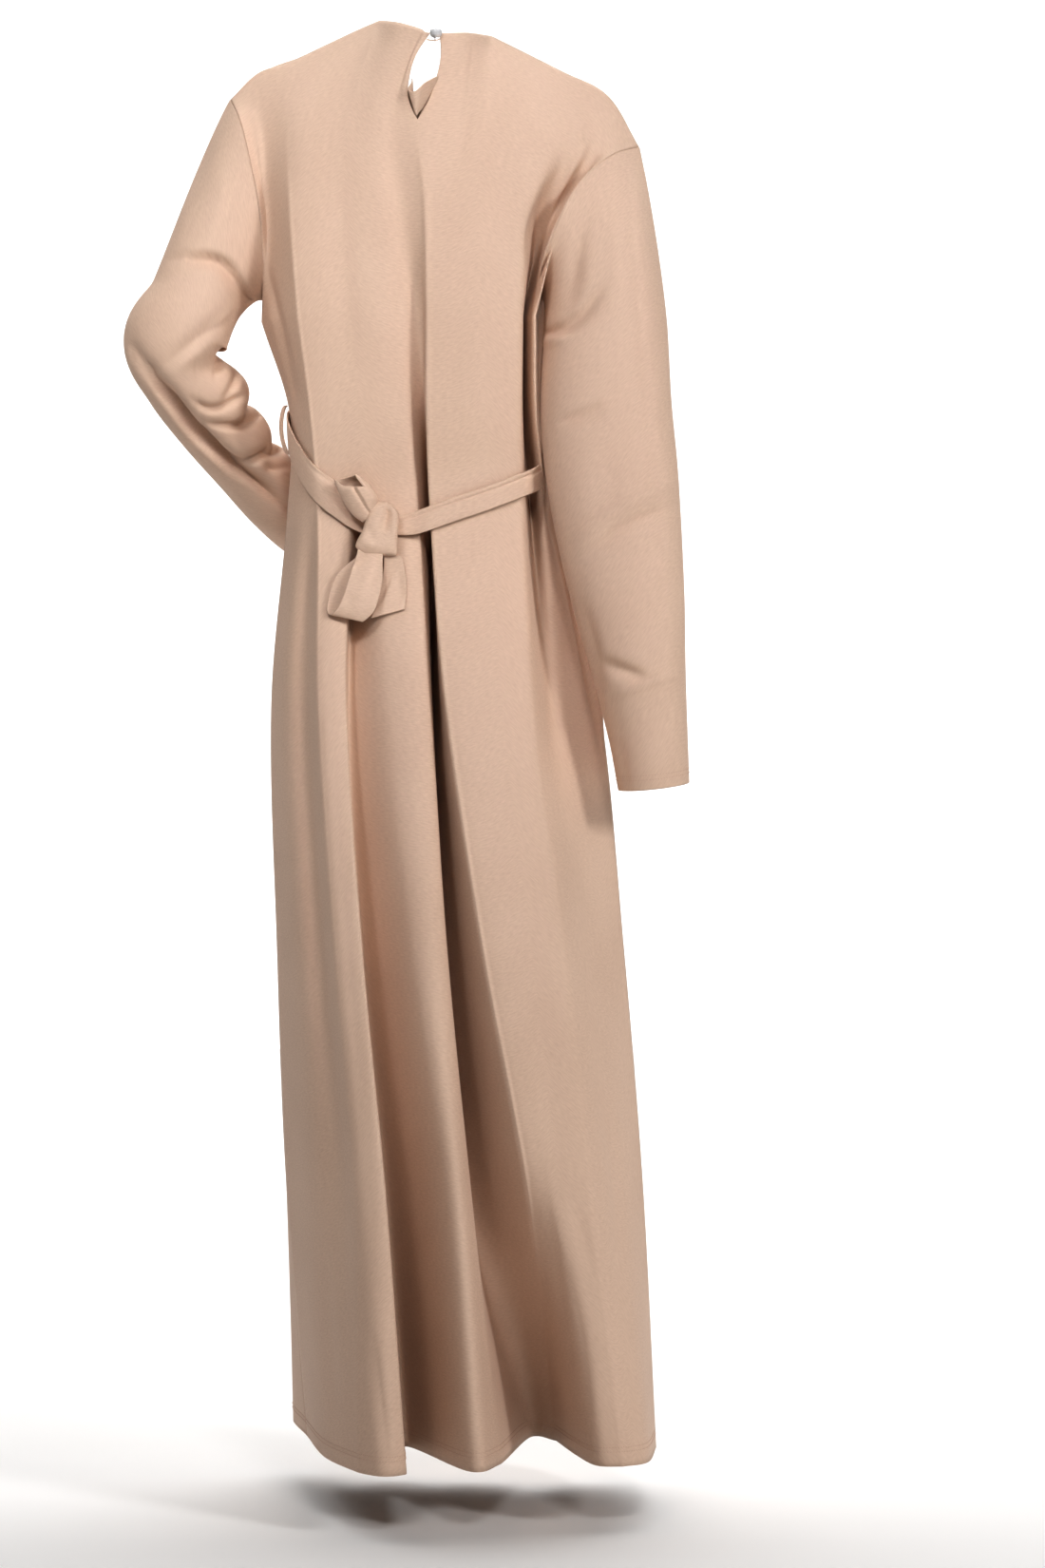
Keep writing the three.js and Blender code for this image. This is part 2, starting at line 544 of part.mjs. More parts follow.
// The waist belt's stations, each a point of a panel at three heights moved
// out, from the knot round the left side and the front to the knot again.
function beltSheet() {
  const rows = BELT.stations.map(({ panel, fold, z, half }) => {
    const folds = panel === 'back' ? BACK_FOLDS : FRONT_FOLDS;
    const sign = panel === 'back' ? 1 : -1;
    return [1, 0, -1].map((side) => {
      const height = z + side * half;
      const here = new THREE.Vector3(...lowerPoint(folds, fold, height));
      const last = folds.length - 1;
      const a = lowerPoint(folds, Math.max(0, fold - BELT.reach), height);
      const b = lowerPoint(folds, Math.min(last, fold + BELT.reach), height);
      const outward = new THREE.Vector3(a[1] - b[1], b[0] - a[0], 0).normalize();
      if (outward.y * sign < 0) outward.negate();
      if (fold === 0 || fold === last) outward.set(Math.sign(here.x), 0, 0);
      return here.addScaledVector(outward, BELT.stand).toArray();
    });
  });
  const edges = [0, 1, 2].map((k) => pathThrough(rows.map((row) => row[k])));
  return gridSheet(3, BELT.steps + 1, (i, j) => edges[j](i / BELT.steps));
}

// A strip of cloth: across at each row, in even steps, from one edge to the other.
function stripSheet(rows, columns, steps) {
  const left = pathThrough(rows.map((row) => row.left));
  const right = pathThrough(rows.map((row) => row.right));
  const pointAt = (i, j) => mixPoint(left(j / steps), right(j / steps), i / columns);
  return gridSheet(steps + 1, columns + 1, pointAt);
}

const group = new THREE.Group();
group.name = 'abaya';

function addPiece(name, geometry, colour, roughness = 0.85, metalness = 0) {
  const material = new THREE.MeshStandardMaterial({ color: colour, roughness, metalness });
  const mesh = new THREE.Mesh(geometry, material);
  mesh.name = name;
  group.add(mesh);
}

// Panels and sleeves
addPiece('back', wallOf(backSheet()), COLOURS.crepe);
addPiece('front', wallOf(frontSheet()), COLOURS.crepe);
const leftRing = armholeRing(ARMHOLES.leftBack, ARMHOLES.leftFront, LEFT_AWAY);
const leftSleeve = sleeveSheet(LEFT_SLEEVE, leftRing, LEFT_SLEEVE_RINGS, ELBOW_ROLLS);
addPiece('sleeve_left', wallOf(leftSleeve), COLOURS.crepe);
const rightRing = armholeRing(ARMHOLES.rightBack, ARMHOLES.rightFront, RIGHT_AWAY);
const rightSleeve = sleeveSheet(RIGHT_SLEEVE, rightRing, RIGHT_SLEEVE_RINGS);
addPiece('sleeve_right', wallOf(rightSleeve), COLOURS.crepe);

// Belt, its knot, the two bow loops and the tail
addPiece('belt', wallOf(beltSheet(), BELT_WALL), COLOURS.crepe);
const knotRings = KNOT.map(({ at, wide, deep }) => Array.from({ length: KNOT_SIDES }, (_, i) => {
  const angle = i / KNOT_SIDES * Math.PI * 2;
  return [at[0] + Math.cos(angle) * wide, at[1] + Math.sin(angle) * deep, at[2]];
}));
const knot = loftBody(knotRings);
addPiece('belt_knot', bodyOf(knot.points, knot.faces), COLOURS.crepe);
const bowTube = tubePoint(BOW_UPPER);
const bowPoint = (i, j) => bowTube(i / BOW_SIDES, j / (BOW_RINGS - 1)).toArray();
addPiece('bow_loop_upper', wallOf(gridSheet(BOW_RINGS, BOW_SIDES, bowPoint, true)), COLOURS.crepe);
addPiece('bow_loop_lower', wallOf(stripSheet(BOW_LOWER, STRIP_COLUMNS, BOW_STEPS)), COLOURS.crepe);
addPiece('belt_tail', wallOf(stripSheet(BELT_TAIL, STRIP_COLUMNS, TAIL_STEPS), BELT_WALL), COLOURS.crepe);

// Belt carriers, each beside the panels' seam edge
for (const [name, z] of Object.entries(CARRIERS)) {
  const side = name === 'carrier_left' ? 1 : -1;
  const fold = side > 0 ? 0 : BACK_FOLDS.length - 1;
  const pointAt = (i, j) => {
    const t = j / CARRIER.steps;
    const height = z + CARRIER.height * (0.5 - t);
    const [x, y] = lowerPoint(BACK_FOLDS, fold, height);
    const off = CARRIER.foot + CARRIER.stand * Math.sin(t * Math.PI) ** CARRIER.round;
    return [x + side * off, y + (i - 0.5) * CARRIER.width, height];
  };
  addPiece(name, wallOf(gridSheet(CARRIER.steps + 1, 2, pointAt), CARRIER.wall), COLOURS.crepe);
}

// Keyhole facing
const facingTop = pathThrough(FACING.top);
const facingPoint = (i, j) => {
  const down = j / (FACING.rows - 1) * FACING.reach;
  return mixPoint(facingTop(i / (FACING.columns - 1)), FACING.tip, down);
};
const facing = gridSheet(FACING.rows, FACING.columns, facingPoint);
addPiece('keyhole_facing', wallOf(facing, FACING.wall), COLOURS.crepeDeep);

// Button: the shank's end, then the ball from the shank up to its top
const buttonProfile = [[0, -BUTTON.length], [BUTTON.shank, -BUTTON.length]];
const shankAngle = Math.asin(BUTTON.shank / BUTTON.radius);
for (let k = 0; k <= BUTTON.rings; k += 1) {
  const angle = mix(shankAngle, Math.PI, k / BUTTON.rings);
  buttonProfile.push([Math.sin(angle) * BUTTON.radius, -Math.cos(angle) * BUTTON.radius]);
}
buttonProfile[buttonProfile.length - 1][0] = 0;
const buttonOutline = buttonProfile.map(([r, h]) => new THREE.Vector2(r, h));
const button = new THREE.LatheGeometry(buttonOutline, BUTTON.sides);
button.translate(...BUTTON.at);
addPiece('button', button, COLOURS.metal, 0.2, 0.9);

// Elastic loop
const elasticPath = new THREE.CatmullRomCurve3(ELASTIC.path.map((p) => new THREE.Vector3(...p)));
const circle = new THREE.Shape();
circle.absarc(0, 0, ELASTIC.radius, 0, Math.PI * 2);
const elastic = new THREE.ExtrudeGeometry(circle, {
  steps: ELASTIC.steps, curveSegments: ELASTIC.sides, extrudePath: elasticPath, bevelEnabled: false,
});
addPiece('button_loop', elastic, COLOURS.elastic);

export default group;
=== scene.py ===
import math

import bpy
import numpy as np
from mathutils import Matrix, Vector


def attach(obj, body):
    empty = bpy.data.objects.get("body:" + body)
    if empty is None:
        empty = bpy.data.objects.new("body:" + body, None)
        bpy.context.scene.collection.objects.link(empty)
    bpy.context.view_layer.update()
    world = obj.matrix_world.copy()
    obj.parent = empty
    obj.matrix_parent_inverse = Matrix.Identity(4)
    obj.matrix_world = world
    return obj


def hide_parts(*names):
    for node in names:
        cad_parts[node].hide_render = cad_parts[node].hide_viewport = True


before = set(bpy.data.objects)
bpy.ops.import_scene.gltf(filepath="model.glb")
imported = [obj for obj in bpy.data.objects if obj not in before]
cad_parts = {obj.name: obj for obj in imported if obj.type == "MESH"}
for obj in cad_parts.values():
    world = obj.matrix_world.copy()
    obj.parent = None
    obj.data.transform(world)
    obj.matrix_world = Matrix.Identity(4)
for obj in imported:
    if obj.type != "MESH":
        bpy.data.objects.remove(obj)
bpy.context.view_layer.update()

# --- Camera ------------------------------------------------------------------
# A level portrait view from behind, 4.4 m from the garment and at hip height.
# The lens takes in 1.6 m of height there.
IMAGE_HEIGHT = 1650
FOCAL_PIXELS = 4467
camera_data = bpy.data.cameras.new("camera")
camera_data.sensor_width = 36
camera_data.lens = 36 * FOCAL_PIXELS / IMAGE_HEIGHT
camera_data.clip_end = 50
camera = bpy.data.objects.new("camera", camera_data)
camera.location = (-0.0916, 4.4, -0.783)
camera.rotation_euler = (math.pi / 2, 0, math.pi)
bpy.context.scene.collection.objects.link(camera)
bpy.context.scene.camera = camera


# --- Studio --------------------------------------------------------------------
# A white studio: a paper floor 65 mm below the hem, a high soft box above the
# camera, one at its right, a narrow one on the left shoulder, and a bank over the
# paper.
def to_linear(hex_colour):
    """Linear red, green, blue and alpha 1 of an sRGB colour written #RRGGBB."""
    shares = [int(hex_colour[i:i + 2], 16) / 255 for i in (1, 3, 5)]
    return [c / 12.92 if c <= 0.04045 else ((c + 0.055) / 1.055) ** 2.4 for c in shares] + [1]


def add_node(tree, kind, inputs=None, **settings):
    """Adds a node, sets its properties, and sets or links its inputs."""
    node = tree.nodes.new(kind)
    for key, value in settings.items():
        setattr(node, key, value)
    for key, value in (inputs or {}).items():
        if isinstance(value, bpy.types.NodeSocket):
            tree.links.new(value, node.inputs[key])
        else:
            node.inputs[key].default_value = value
    return node


def new_material(name):
    """A material with an empty node tree, and that tree."""
    material = bpy.data.materials.new(name)
    material.use_nodes = True
    material.node_tree.nodes.clear()
    return material, material.node_tree


# Matt paper, sized and rolled: nearly white, with no gloss, so it only softens shadows.
paper, tree = new_material("matt white studio paper")
coords = add_node(tree, "ShaderNodeTexCoord")
grain = add_node(tree, "ShaderNodeTexNoise", {"Vector": coords.outputs["Object"], "Scale": 3.0})
tint = add_node(tree, "ShaderNodeMix", {"Factor": grain.outputs["Fac"], "A": to_linear("#F7F6F5"),
                                        "B": to_linear("#F3F2F1")}, data_type="RGBA")
matt = add_node(tree, "ShaderNodeBsdfPrincipled", {"Base Color": tint.outputs["Result"], "Roughness": 0.9})
add_node(tree, "ShaderNodeOutputMaterial", {"Surface": matt.outputs["BSDF"]})

FLOOR_Z = -1.533
floor_mesh = bpy.data.meshes.new("floor")
floor_mesh.from_pydata([(-8, -7.6, FLOOR_Z), (8, -7.6, FLOOR_Z), (8, 9, FLOOR_Z), (-8, 9, FLOOR_Z)],
                       [], [(0, 1, 2, 3)])
floor_mesh.materials.append(paper)
floor = bpy.data.objects.new("floor", floor_mesh)
bpy.context.scene.collection.objects.link(floor)

# The room: white paper beyond the garment's front, which lights its edges, and the
# dimmer room behind the camera.
world = bpy.data.worlds.new("white studio")
world.use_nodes = True
room = world.node_tree
direction = add_node(room, "ShaderNodeTexCoord")
parts = add_node(room, "ShaderNodeSeparateXYZ", {"Vector": direction.outputs["Generated"]})
walls = add_node(room, "ShaderNodeMapRange", {
    "Value": parts.outputs["Y"], "From Min": -0.97, "From Max": -0.86, "To Min": 1.05, "To Max": 0.07},
    interpolation_type="SMOOTHSTEP")
room.nodes["Background"].inputs["Color"].default_value = to_linear("#FFFFFF")
room.links.new(walls.outputs["Result"], room.nodes["Background"].inputs["Strength"])
bpy.context.scene.world = world
bpy.context.scene.view_settings.view_transform = "Standard"
bpy.context.scene.view_settings.look = "High Contrast"

# Name, place, target, width, depth, spread in degrees and power. The bank hangs over
# the paper beyond the garment and keeps it white.
SOFT_BOXES = [("high soft box", (-0.8, 4.5, 2.1), (0, 0, -0.3), 0.9, 0.9, 105, 17),
              ("right soft box", (-3.2, 3.0, 1.0), (0, 0, -0.6), 0.7, 0.7, 110, 21),
              ("left soft box", (1.5, 3.6, 2.4), (0.3, 0, -0.2), 0.7, 0.7, 22, 1.4),
              ("bank over the paper", (0, -4.9, 3.0), (0, -4.6, -1.5), 9.0, 9.0, 125, 275)]
for name, place, target, width, depth, spread, watts in SOFT_BOXES:
    light = bpy.data.lights.new(name, "AREA")
    light.shape = "RECTANGLE"
    light.size, light.size_y = width, depth
    light.energy = watts
    light.spread = math.radians(spread)
    lamp = bpy.data.objects.new(name, light)
    lamp.location = place
    lamp.rotation_euler = (Vector(target) - Vector(place)).to_track_quat("-Z", "Y").to_euler()
    bpy.context.scene.collection.objects.link(lamp)


# --- Crepe ----------------------------------------------------------------------
# Polyester crepe in rose beige: high-twist yarns in a plain weave, piece dyed. The
# twist gives a matt, faintly pebbled face; the thicker weft shows as short flecks.
def crepe_material(name, light, shade):
    """Crepe on the UV map, in metres. Noise stretched 4 to 1 along the weft gives
    flecks about 1.5 by 6 mm, fine noise gives the pebbles, slow noise the dye."""
    material, tree = new_material(name)
    uv = add_node(tree, "ShaderNodeUVMap", uv_map="cloth")
    weft = add_node(tree, "ShaderNodeMapping", {"Vector": uv.outputs["UV"], "Scale": (170, 680, 1)})
    flecks = add_node(tree, "ShaderNodeTexNoise", {
        "Vector": weft.outputs["Vector"], "Scale": 1.0, "Detail": 2.0})
    pebbles = add_node(tree, "ShaderNodeTexNoise", {
        "Vector": uv.outputs["UV"], "Scale": 900.0, "Detail": 2.0})
    dye = add_node(tree, "ShaderNodeTexNoise", {"Vector": uv.outputs["UV"], "Scale": 7.0, "Detail": 3.0})
    slow = add_node(tree, "ShaderNodeMath", {0: dye.outputs["Fac"], 1: 0.35}, operation="MULTIPLY")
    both = add_node(tree, "ShaderNodeMath", {0: flecks.outputs["Fac"], 1: 0.65, 2: slow.outputs["Value"]},
                    operation="MULTIPLY_ADD")
    share = add_node(tree, "ShaderNodeMapRange", {
        "Value": both.outputs["Value"], "From Min": 0.3, "From Max": 0.7})
    colour = add_node(tree, "ShaderNodeMix", {"Factor": share.outputs["Result"], "A": to_linear(shade),
                                              "B": to_linear(light)}, data_type="RGBA")
    bump = add_node(tree, "ShaderNodeBump", {"Height": pebbles.outputs["Fac"], "Strength": 0.22,
                                             "Distance": 0.0006})
    cloth = add_node(tree, "ShaderNodeBsdfPrincipled", {
        "Base Color": colour.outputs["Result"], "Roughness": 0.7, "Normal": bump.outputs["Normal"],
        "Specular IOR Level": 0.2, "Sheen Weight": 0.08, "Sheen Roughness": 0.4})
    add_node(tree, "ShaderNodeOutputMaterial", {"Surface": cloth.outputs["BSDF"]})
    return material


crepe = crepe_material("rose beige polyester crepe", "#DFC5B2", "#CFB4A1")

# --- Back panel ---------------------------------------------------------------------
# One piece of crepe from the shoulders to the hem, slashed at the neck for the
# keyhole. The belt holds its flare in, so it falls in three lobes with a deep
# inverted pleat right of the centre. Its hem is turned and stitched.
UNDERARM_Z = -305
HEM_Z = -1468
WALL = 1.5
LEVELS = [UNDERARM_Z, -400, -500, -700, -950, -1200, HEM_Z]
# Fold lines from the left side seam to the right. Columns: x, y, z on the neck and
# shoulder edge; x at the yoke; x at the shoulder blade; sharpness; sharpness at the
# top edge; then x, y at each of LEVELS.
BACK_FOLDS = [
    (211, -5, -73, 190, 180, 0, 0,
     [(178, 0), (149, 0), (152, -8), (169, -12), (164, -25), (155, -40), (134, -60)]),
    (183, -5, -46, 176, 168, 0, 0,
     [(163, 45), (141, 42), (137, 38), (149, 50), (136, 60), (119, 75), (109, 80)]),
    (152, -5, -35, 150, 145, 0.7, 0,
     [(137, 88), (125, 80), (117, 70), (115, 108), (98, 122), (76, 150), (71, 178)]),
    (111, -5, -16, 124, 124, 0, 0,
     [(118, 92), (106, 84), (100, 72), (100, 112), (83, 128), (60, 160), (46, 202)]),
    (81, -4, -2, 102, 106, 0.85, 0,
     [(101, 93), (90, 85), (85, 72), (87, 110), (70, 130), (45, 160), (24, 188)]),
    (56, 0, 8, 84, 90, 0, 1,
     [(84, 94), (73, 86), (69, 71), (84, 84), (72, 66), (49, 40), (29, 10)]),
    (38, 30, 1, 66, 72, 0, 0,
     [(63, 95), (51, 86), (50, 72), (41, 108), (17, 122), (-17, 145), (-39, 170)]),
    (20, 44, -6, 50, 50, 0.5, 0,
     [(39, 95), (27, 86), (16, 74), (2, 106), (-15, 116), (-40, 124), (-69, 125)]),
    (11, 49, -10, 36, 30, 0, 0,
     [(17, 91), (14, 80), (9, 58), (3, 34), (-7, 24), (-33, 8), (-100, -54)]),
    (3, 52, -14, 15, 7, 0.9, 0,
     [(5, 101), (6, 91), (3, 79), (-14, 118), (-52, 127), (-98, 120), (-127, -30)]),
    (-35, 36, -11, -26, -20, 0, 0,
     [(-19, 101), (-22, 91), (-26, 77), (-39, 118), (-72, 128), (-115, 128), (-146, 62)]),
    (-59, 0, -8, -54, -48, 0, 1,
     [(-48, 98), (-53, 88), (-59, 73), (-70, 112), (-101, 122), (-130, 130), (-166, 132)]),
    (-131, -6, -43, -124, -98, 0.7, 0,
     [(-91, 86), (-90, 78), (-92, 66), (-102, 98), (-134, 112), (-161, 122), (-192, 140)]),
    (-180, -6, -69, -160, -124, 0, 0,
     [(-98, 56), (-100, 49), (-112, 36), (-134, 44), (-164, 54), (-191, 68), (-218, 112)]),
    (-212, -5, -122, -160, -118, 0, 0,
     [(-107, 2), (-108, 0), (-127, -4), (-171, -8), (-196, -8), (-216, -4), (-229, 16)]),
]
SLIT_FOLD = 9
# Armhole edges of the back, from the shoulder tip to the underarm, in even steps.
LEFT_BACK_ARMHOLE = [(211, -5, -73), (200, 24, -98), (189, 42, -140), (178, 47, -200), (175, 34, -256),
                     (178, 0, -305)]
RIGHT_BACK_ARMHOLE = [(-212, -5, -122), (-184, 34, -136), (-152, 62, -166), (-126, 76, -212),
                      (-109, 58, -262),
                      (-107, 2, -305)]
# Keyhole: x of its two sides at quarters of the way from the neck to its foot.
KEYHOLE_FOOT = 0.32
KEYHOLE_LEFT = [3, 17, 23.5, 24.8, 15.5]
KEYHOLE_RIGHT = [-7, -8, -4, 3, 15.5]


# Pleats deepened one by one. Columns: fold number; its width towards the left and the right fold, in folds;
# then height, shift in x and shift in y, from the top down.
BACK_PLEATS = [
    (8.0, 0.55, 0.5, [(-1120, 0, 0), (-1200, 0, 14), (-1300, 0, 46), (-1380, 0, 40), (-1440, 0, 16),
                      (-1468, 0, 0)]),
    (8.55, 1.1, 0.26, [(-230, 0, 0), (-320, -1, -8), (-400, -4, -20), (-460, -6, -40), (-520, -6, -46),
                       (-570, -5, -34),
                       (-640, -3, -16), (-760, 0, 0)]),
    (12.5, 0.26, 0.34, [(-150, 0, 0), (-210, 2, -24), (-280, 5, -50), (-400, 5, -54), (-480, 4, -50),
                        (-560, 3, -34),
                        (-680, 0, -20), (-840, 0, 0)]),
    (13.2, 0.2, 0.2, [(-190, 0, 0), (-240, -4, 14), (-300, -5, 20), (-420, -4, 20), (-480, -2, 8),
                      (-520, 0, 0)]),
    (4.9, 0.5, 0.5, [(-490, 0, 0), (-550, 4, -30), (-600, 4, -22), (-680, 0, -6), (-760, 0, 0)]),
    (1.62, 0.4, 0.26, [(-500, 0, 0), (-600, 2, -20), (-800, 2, -28), (-1000, 2, -28), (-1200, 0, -16),
                       (-1350, 0, 0)]),
    (2.0, 0.1, 0.1, [(-90, 0, 0), (-200, 0, 1.5), (-500, 0, 2.5), (-900, 0, 2.5), (-1180, 0, 0)]),
    (9.0, 0.12, 0.12, [(-120, 0, 0), (-200, 0, 1.5), (-330, 0, 2), (-500, 0, 2), (-1100, 0, 2),
                       (-1300, 0, 0)]),
]
# Creases laid on the outside. Columns: path as x, z from the top down;
# width on its side of larger x, and of smaller x; height, below 0 for a trough.
BACK_CREASES = [
    ([(186, -93), (180, -123), (174, -172), (169, -220)], 6, 4, 3),
    ([(173, -249), (165, -287), (154, -334), (140, -395)], 4, 7, -5),
    ([(-150, -98), (-148, -118), (-138, -145), (-122, -180), (-110, -214)], 9, 5, 5),
    ([(-146, -128), (-134, -152), (-120, -180), (-107, -212), (-98, -240)], 9, 4, -9),
    ([(-158, -120), (-150, -138), (-138, -160), (-126, -186), (-112, -226)], 5, 5, 5),
    ([(-152, -150), (-140, -168), (-126, -192), (-112, -226)], 4, 4, -6),
    ([(-30, -145), (-20, -167), (-7, -198)], 3, 8, 1.6),
    ([(-60, -62), (-42, -122), (-24, -172), (-14, -222)], 7, 10, -2.2),
    ([(-144, -1203), (-152, -1238), (-162, -1273)], 8, 8, -2.5),
    ([(95, -180), (90, -240), (84, -320), (78, -380)], 14, 10, -2),
    ([(40, -250), (36, -330), (34, -420)], 12, 8, -2.5),
    ([(-60, -110), (-64, -170), (-66, -240)], 16, 10, -1.5),
    ([(-120, -700), (-112, -800), (-118, -900)], 14, 10, -2),
    ([(-110, -479), (-127, -527), (-148, -614), (-165, -701), (-174, -749)], 5, 4, -6),
    ([(-118, -479), (-135, -527), (-156, -614), (-173, -701), (-182, -749)], 4, 4, 6),
    ([(-130, -1250), (-150, -1340), (-160, -1440)], 12, 7, -3),
    ([(-170, -1100), (-186, -1180), (-190, -1300)], 8, 8, -3),
    ([(58, -1330), (48, -1400), (42, -1450)], 8, 5, -2.5),
    ([(110, -1250), (104, -1340), (98, -1430)], 10, 8, -3),
]


def mix(a, b, share):
    """A value the given share of the way from a to b."""
    return a + (b - a) * share


def smooth(share):
    """A share of 0 to 1 that leaves 0 and reaches 1 slowly."""
    share = np.clip(share, 0, 1)
    return share * share * (3 - 2 * share)


def curve_through(knots, values, at, crisp=0):
    """A cubic through values at knots, read at many places along their first axis. A
    knot's tangent points from the value before to the value after it; crisp turns it
    towards the straight line on each side, so that 1 makes a corner."""
    knots = np.asarray(knots, float)
    values = np.asarray(values, float)
    at = np.asarray(at, float)
    wide = (-1,) + (1,) * (values.ndim - 1)
    crisp = np.broadcast_to(crisp, values.shape)
    slope = np.diff(values, axis=0) / np.diff(knots).reshape(wide)
    tangent = np.empty_like(values)
    tangent[0], tangent[-1] = slope[0], slope[-1]
    tangent[1:-1] = (values[2:] - values[:-2]) / (knots[2:] - knots[:-2]).reshape(wide)
    way = np.sign(knots[-1] - knots[0])
    i = np.clip(np.searchsorted(knots * way, at * way, side="right") - 1, 0, len(knots) - 2)
    span = (knots[i + 1] - knots[i]).reshape(wide)
    t = (at - knots[i]).reshape(wide) / span
    start = mix(tangent[i], slope[i], crisp[i]) * span
    end = mix(tangent[i + 1], slope[i], crisp[i + 1]) * span
    return ((2 * t ** 3 - 3 * t ** 2 + 1) * values[i] + (t ** 3 - 2 * t ** 2 + t) * start
            + (3 * t ** 2 - 2 * t ** 3) * values[i + 1] + (t ** 3 - t ** 2) * end)


def path_through(points, at):
    """A smooth path through points, read at shares 0 to 1 of its steps."""
    return curve_through(np.linspace(0, 1, len(points)), points, at)


def fold_points(folds, columns, heights):
    """Points below the underarm, columns by heights. Each fold line is smooth in
    height, and a curve joins the fold lines at each height."""
    spots = curve_through(LEVELS, np.swapaxes(np.array([f[7] for f in folds], float), 0, 1), heights)
    crisp = np.reshape([f[5] for f in folds], (-1, 1, 1))
    flat = curve_through(np.arange(len(folds)), np.swapaxes(spots, 0, 1), columns, crisp)
    z = np.broadcast_to(np.reshape(heights, (1, -1, 1)), flat.shape[:2] + (1,))
    return np.concatenate([flat, z], axis=2)


def shoulder_points(folds, armholes, columns, downs):
    """Points above the underarm, columns by downs. A fold line drops from the shoulder
    edge with its share down, and bulges out by 1 - (1 - down)^2.6."""
    tops = np.array([f[:3] for f in folds], float)
    unders = np.array([f[7][0] for f in folds], float)
    across = [tops[:, 0], [f[3] for f in folds], [f[4] for f in folds], unders[:, 0]]
    x = curve_through([0, 0.32, 0.62, 1], across, downs)
    down = np.reshape(downs, (-1, 1))
    y = mix(tops[:, 1], unders[:, 1], 1 - (1 - down) ** 2.6)
    lines = np.stack([x, y, mix(tops[:, 2], UNDERARM_Z, down)], axis=2)
    lines[:, 0] = path_through(armholes[0], downs)
    lines[:, -1] = path_through(armholes[1], downs)
    edge_sharp, sharp = [np.reshape([f[k] for f in folds], (-1, 1)) for k in (6, 5)]
    crisp = mix(edge_sharp, sharp, smooth(np.reshape(downs, (1, -1)) * 2))
    return curve_through(np.arange(len(folds)), np.swapaxes(lines, 0, 1), columns, crisp[:, :, None])


def panel_grid(folds, armholes, columns, downs, heights):
    """A whole panel, rows by columns, with its pleats and creases still to come."""
    upper = shoulder_points(folds, armholes, columns, downs)
    lower = fold_points(folds, columns, heights)
    return np.swapaxes(np.concatenate([upper, lower], axis=1), 0, 1)


def pleated(points, columns, pleats):
    """Moves a panel's points by each pleat's shift, which changes smoothly with height
    and falls off as exp(-(folds away / width)^2)."""
    moved = points.copy()
    for centre, before, after, stations in pleats:
        away = columns - centre
        weight = np.exp(-(away / np.where(away < 0, before, after)) ** 2)
        table = np.array(stations, float)
        z = np.clip(points[..., 2].reshape(-1), table[-1, 0], table[0, 0])
        shift = curve_through(table[:, 0], table[:, 1:], z).reshape(points.shape[:2] + (2,))
        moved[..., :2] += shift * weight[None, :, None]
    return moved


def outward_normals(points, outside, wrap=False):
    """Unit normals of a grid: the cross product of its steps down and across, turned
    to agree with the outside direction on average."""
    if wrap:
        across = np.roll(points, -1, axis=1) - np.roll(points, 1, axis=1)
    else:
        across = np.gradient(points, axis=1)
    normal = np.cross(np.gradient(points, axis=0), across)
    normal /= np.maximum(np.linalg.norm(normal, axis=2, keepdims=True), 1e-9)
    return normal * (1 if (normal * outside).sum() > 0 else -1)


def creased(points, normal, creases, side):
    """Lifts a grid along its normals by its creases. Each height fades out at the ends
    of its path and falls off as exp(-(distance / width)^2) beside it. Only cloth that
    faces the crease's side is moved: side +1 is the back, -1 the front."""
    spot = points[..., [0, 2]]
    lift = np.zeros(points.shape[:2])
    for path, wide_plus, wide_minus, height in creases:
        steps = path_through(np.array(path, float), np.linspace(0, 1, 3 * len(path)))
        best = np.full(lift.shape, 1e9)
        along = np.zeros(lift.shape)
        turn = np.zeros(lift.shape)
        for k in range(len(steps) - 1):
            leg = steps[k + 1] - steps[k]
            off = spot - steps[k]
            share = np.clip((off @ leg) / (leg @ leg), 0, 1)
            distance = np.linalg.norm(off - share[..., None] * leg, axis=2)
            closer = distance < best
            best = np.where(closer, distance, best)
            along = np.where(closer, (k + share) / (len(steps) - 1), along)
            turn = np.where(closer, leg[0] * off[..., 1] - leg[1] * off[..., 0], turn)
        width = np.where(turn > 0, wide_plus, wide_minus)
        lift += height * np.sin(np.clip(along, 0.03, 0.97) * math.pi) ** 0.6 * np.exp(-(best / width) ** 2)
    return points + normal * (lift * smooth(normal[..., 1] * side * 3))[..., None]


def grid_faces(rows, columns, wrap=False):
    """Vertex numbers of the quads of a grid."""
    index = np.arange(rows * columns).reshape(rows, columns)
    if wrap:
        index = np.concatenate([index, index[:, :1]], axis=1)
    quads = [index[:-1, :-1], index[1:, :-1], index[1:, 1:], index[:-1, 1:]]
    return np.stack(quads, axis=-1).reshape(-1, 4)


def cloth_uv(points, wrap=False):
    """The cloth's own coordinates in metres: lengths measured across and down it."""
    if wrap:
        points = np.concatenate([points, points[:, :1]], axis=1)
    across = np.linalg.norm(np.diff(points, axis=1), axis=2).cumsum(axis=1)
    down = np.linalg.norm(np.diff(points, axis=0), axis=2).cumsum(axis=0)
    u = np.concatenate([np.zeros((len(points), 1)), across], axis=1)
    u = u - u[:, [points.shape[1] // 2]]
    v = np.concatenate([np.zeros((1, points.shape[1])), down], axis=0)
    pair = np.stack([u, -v], axis=-1) / 1000
    corners = [pair[:-1, :-1], pair[1:, :-1], pair[1:, 1:], pair[:-1, 1:]]
    return np.stack(corners, axis=-2).reshape(-1, 2)


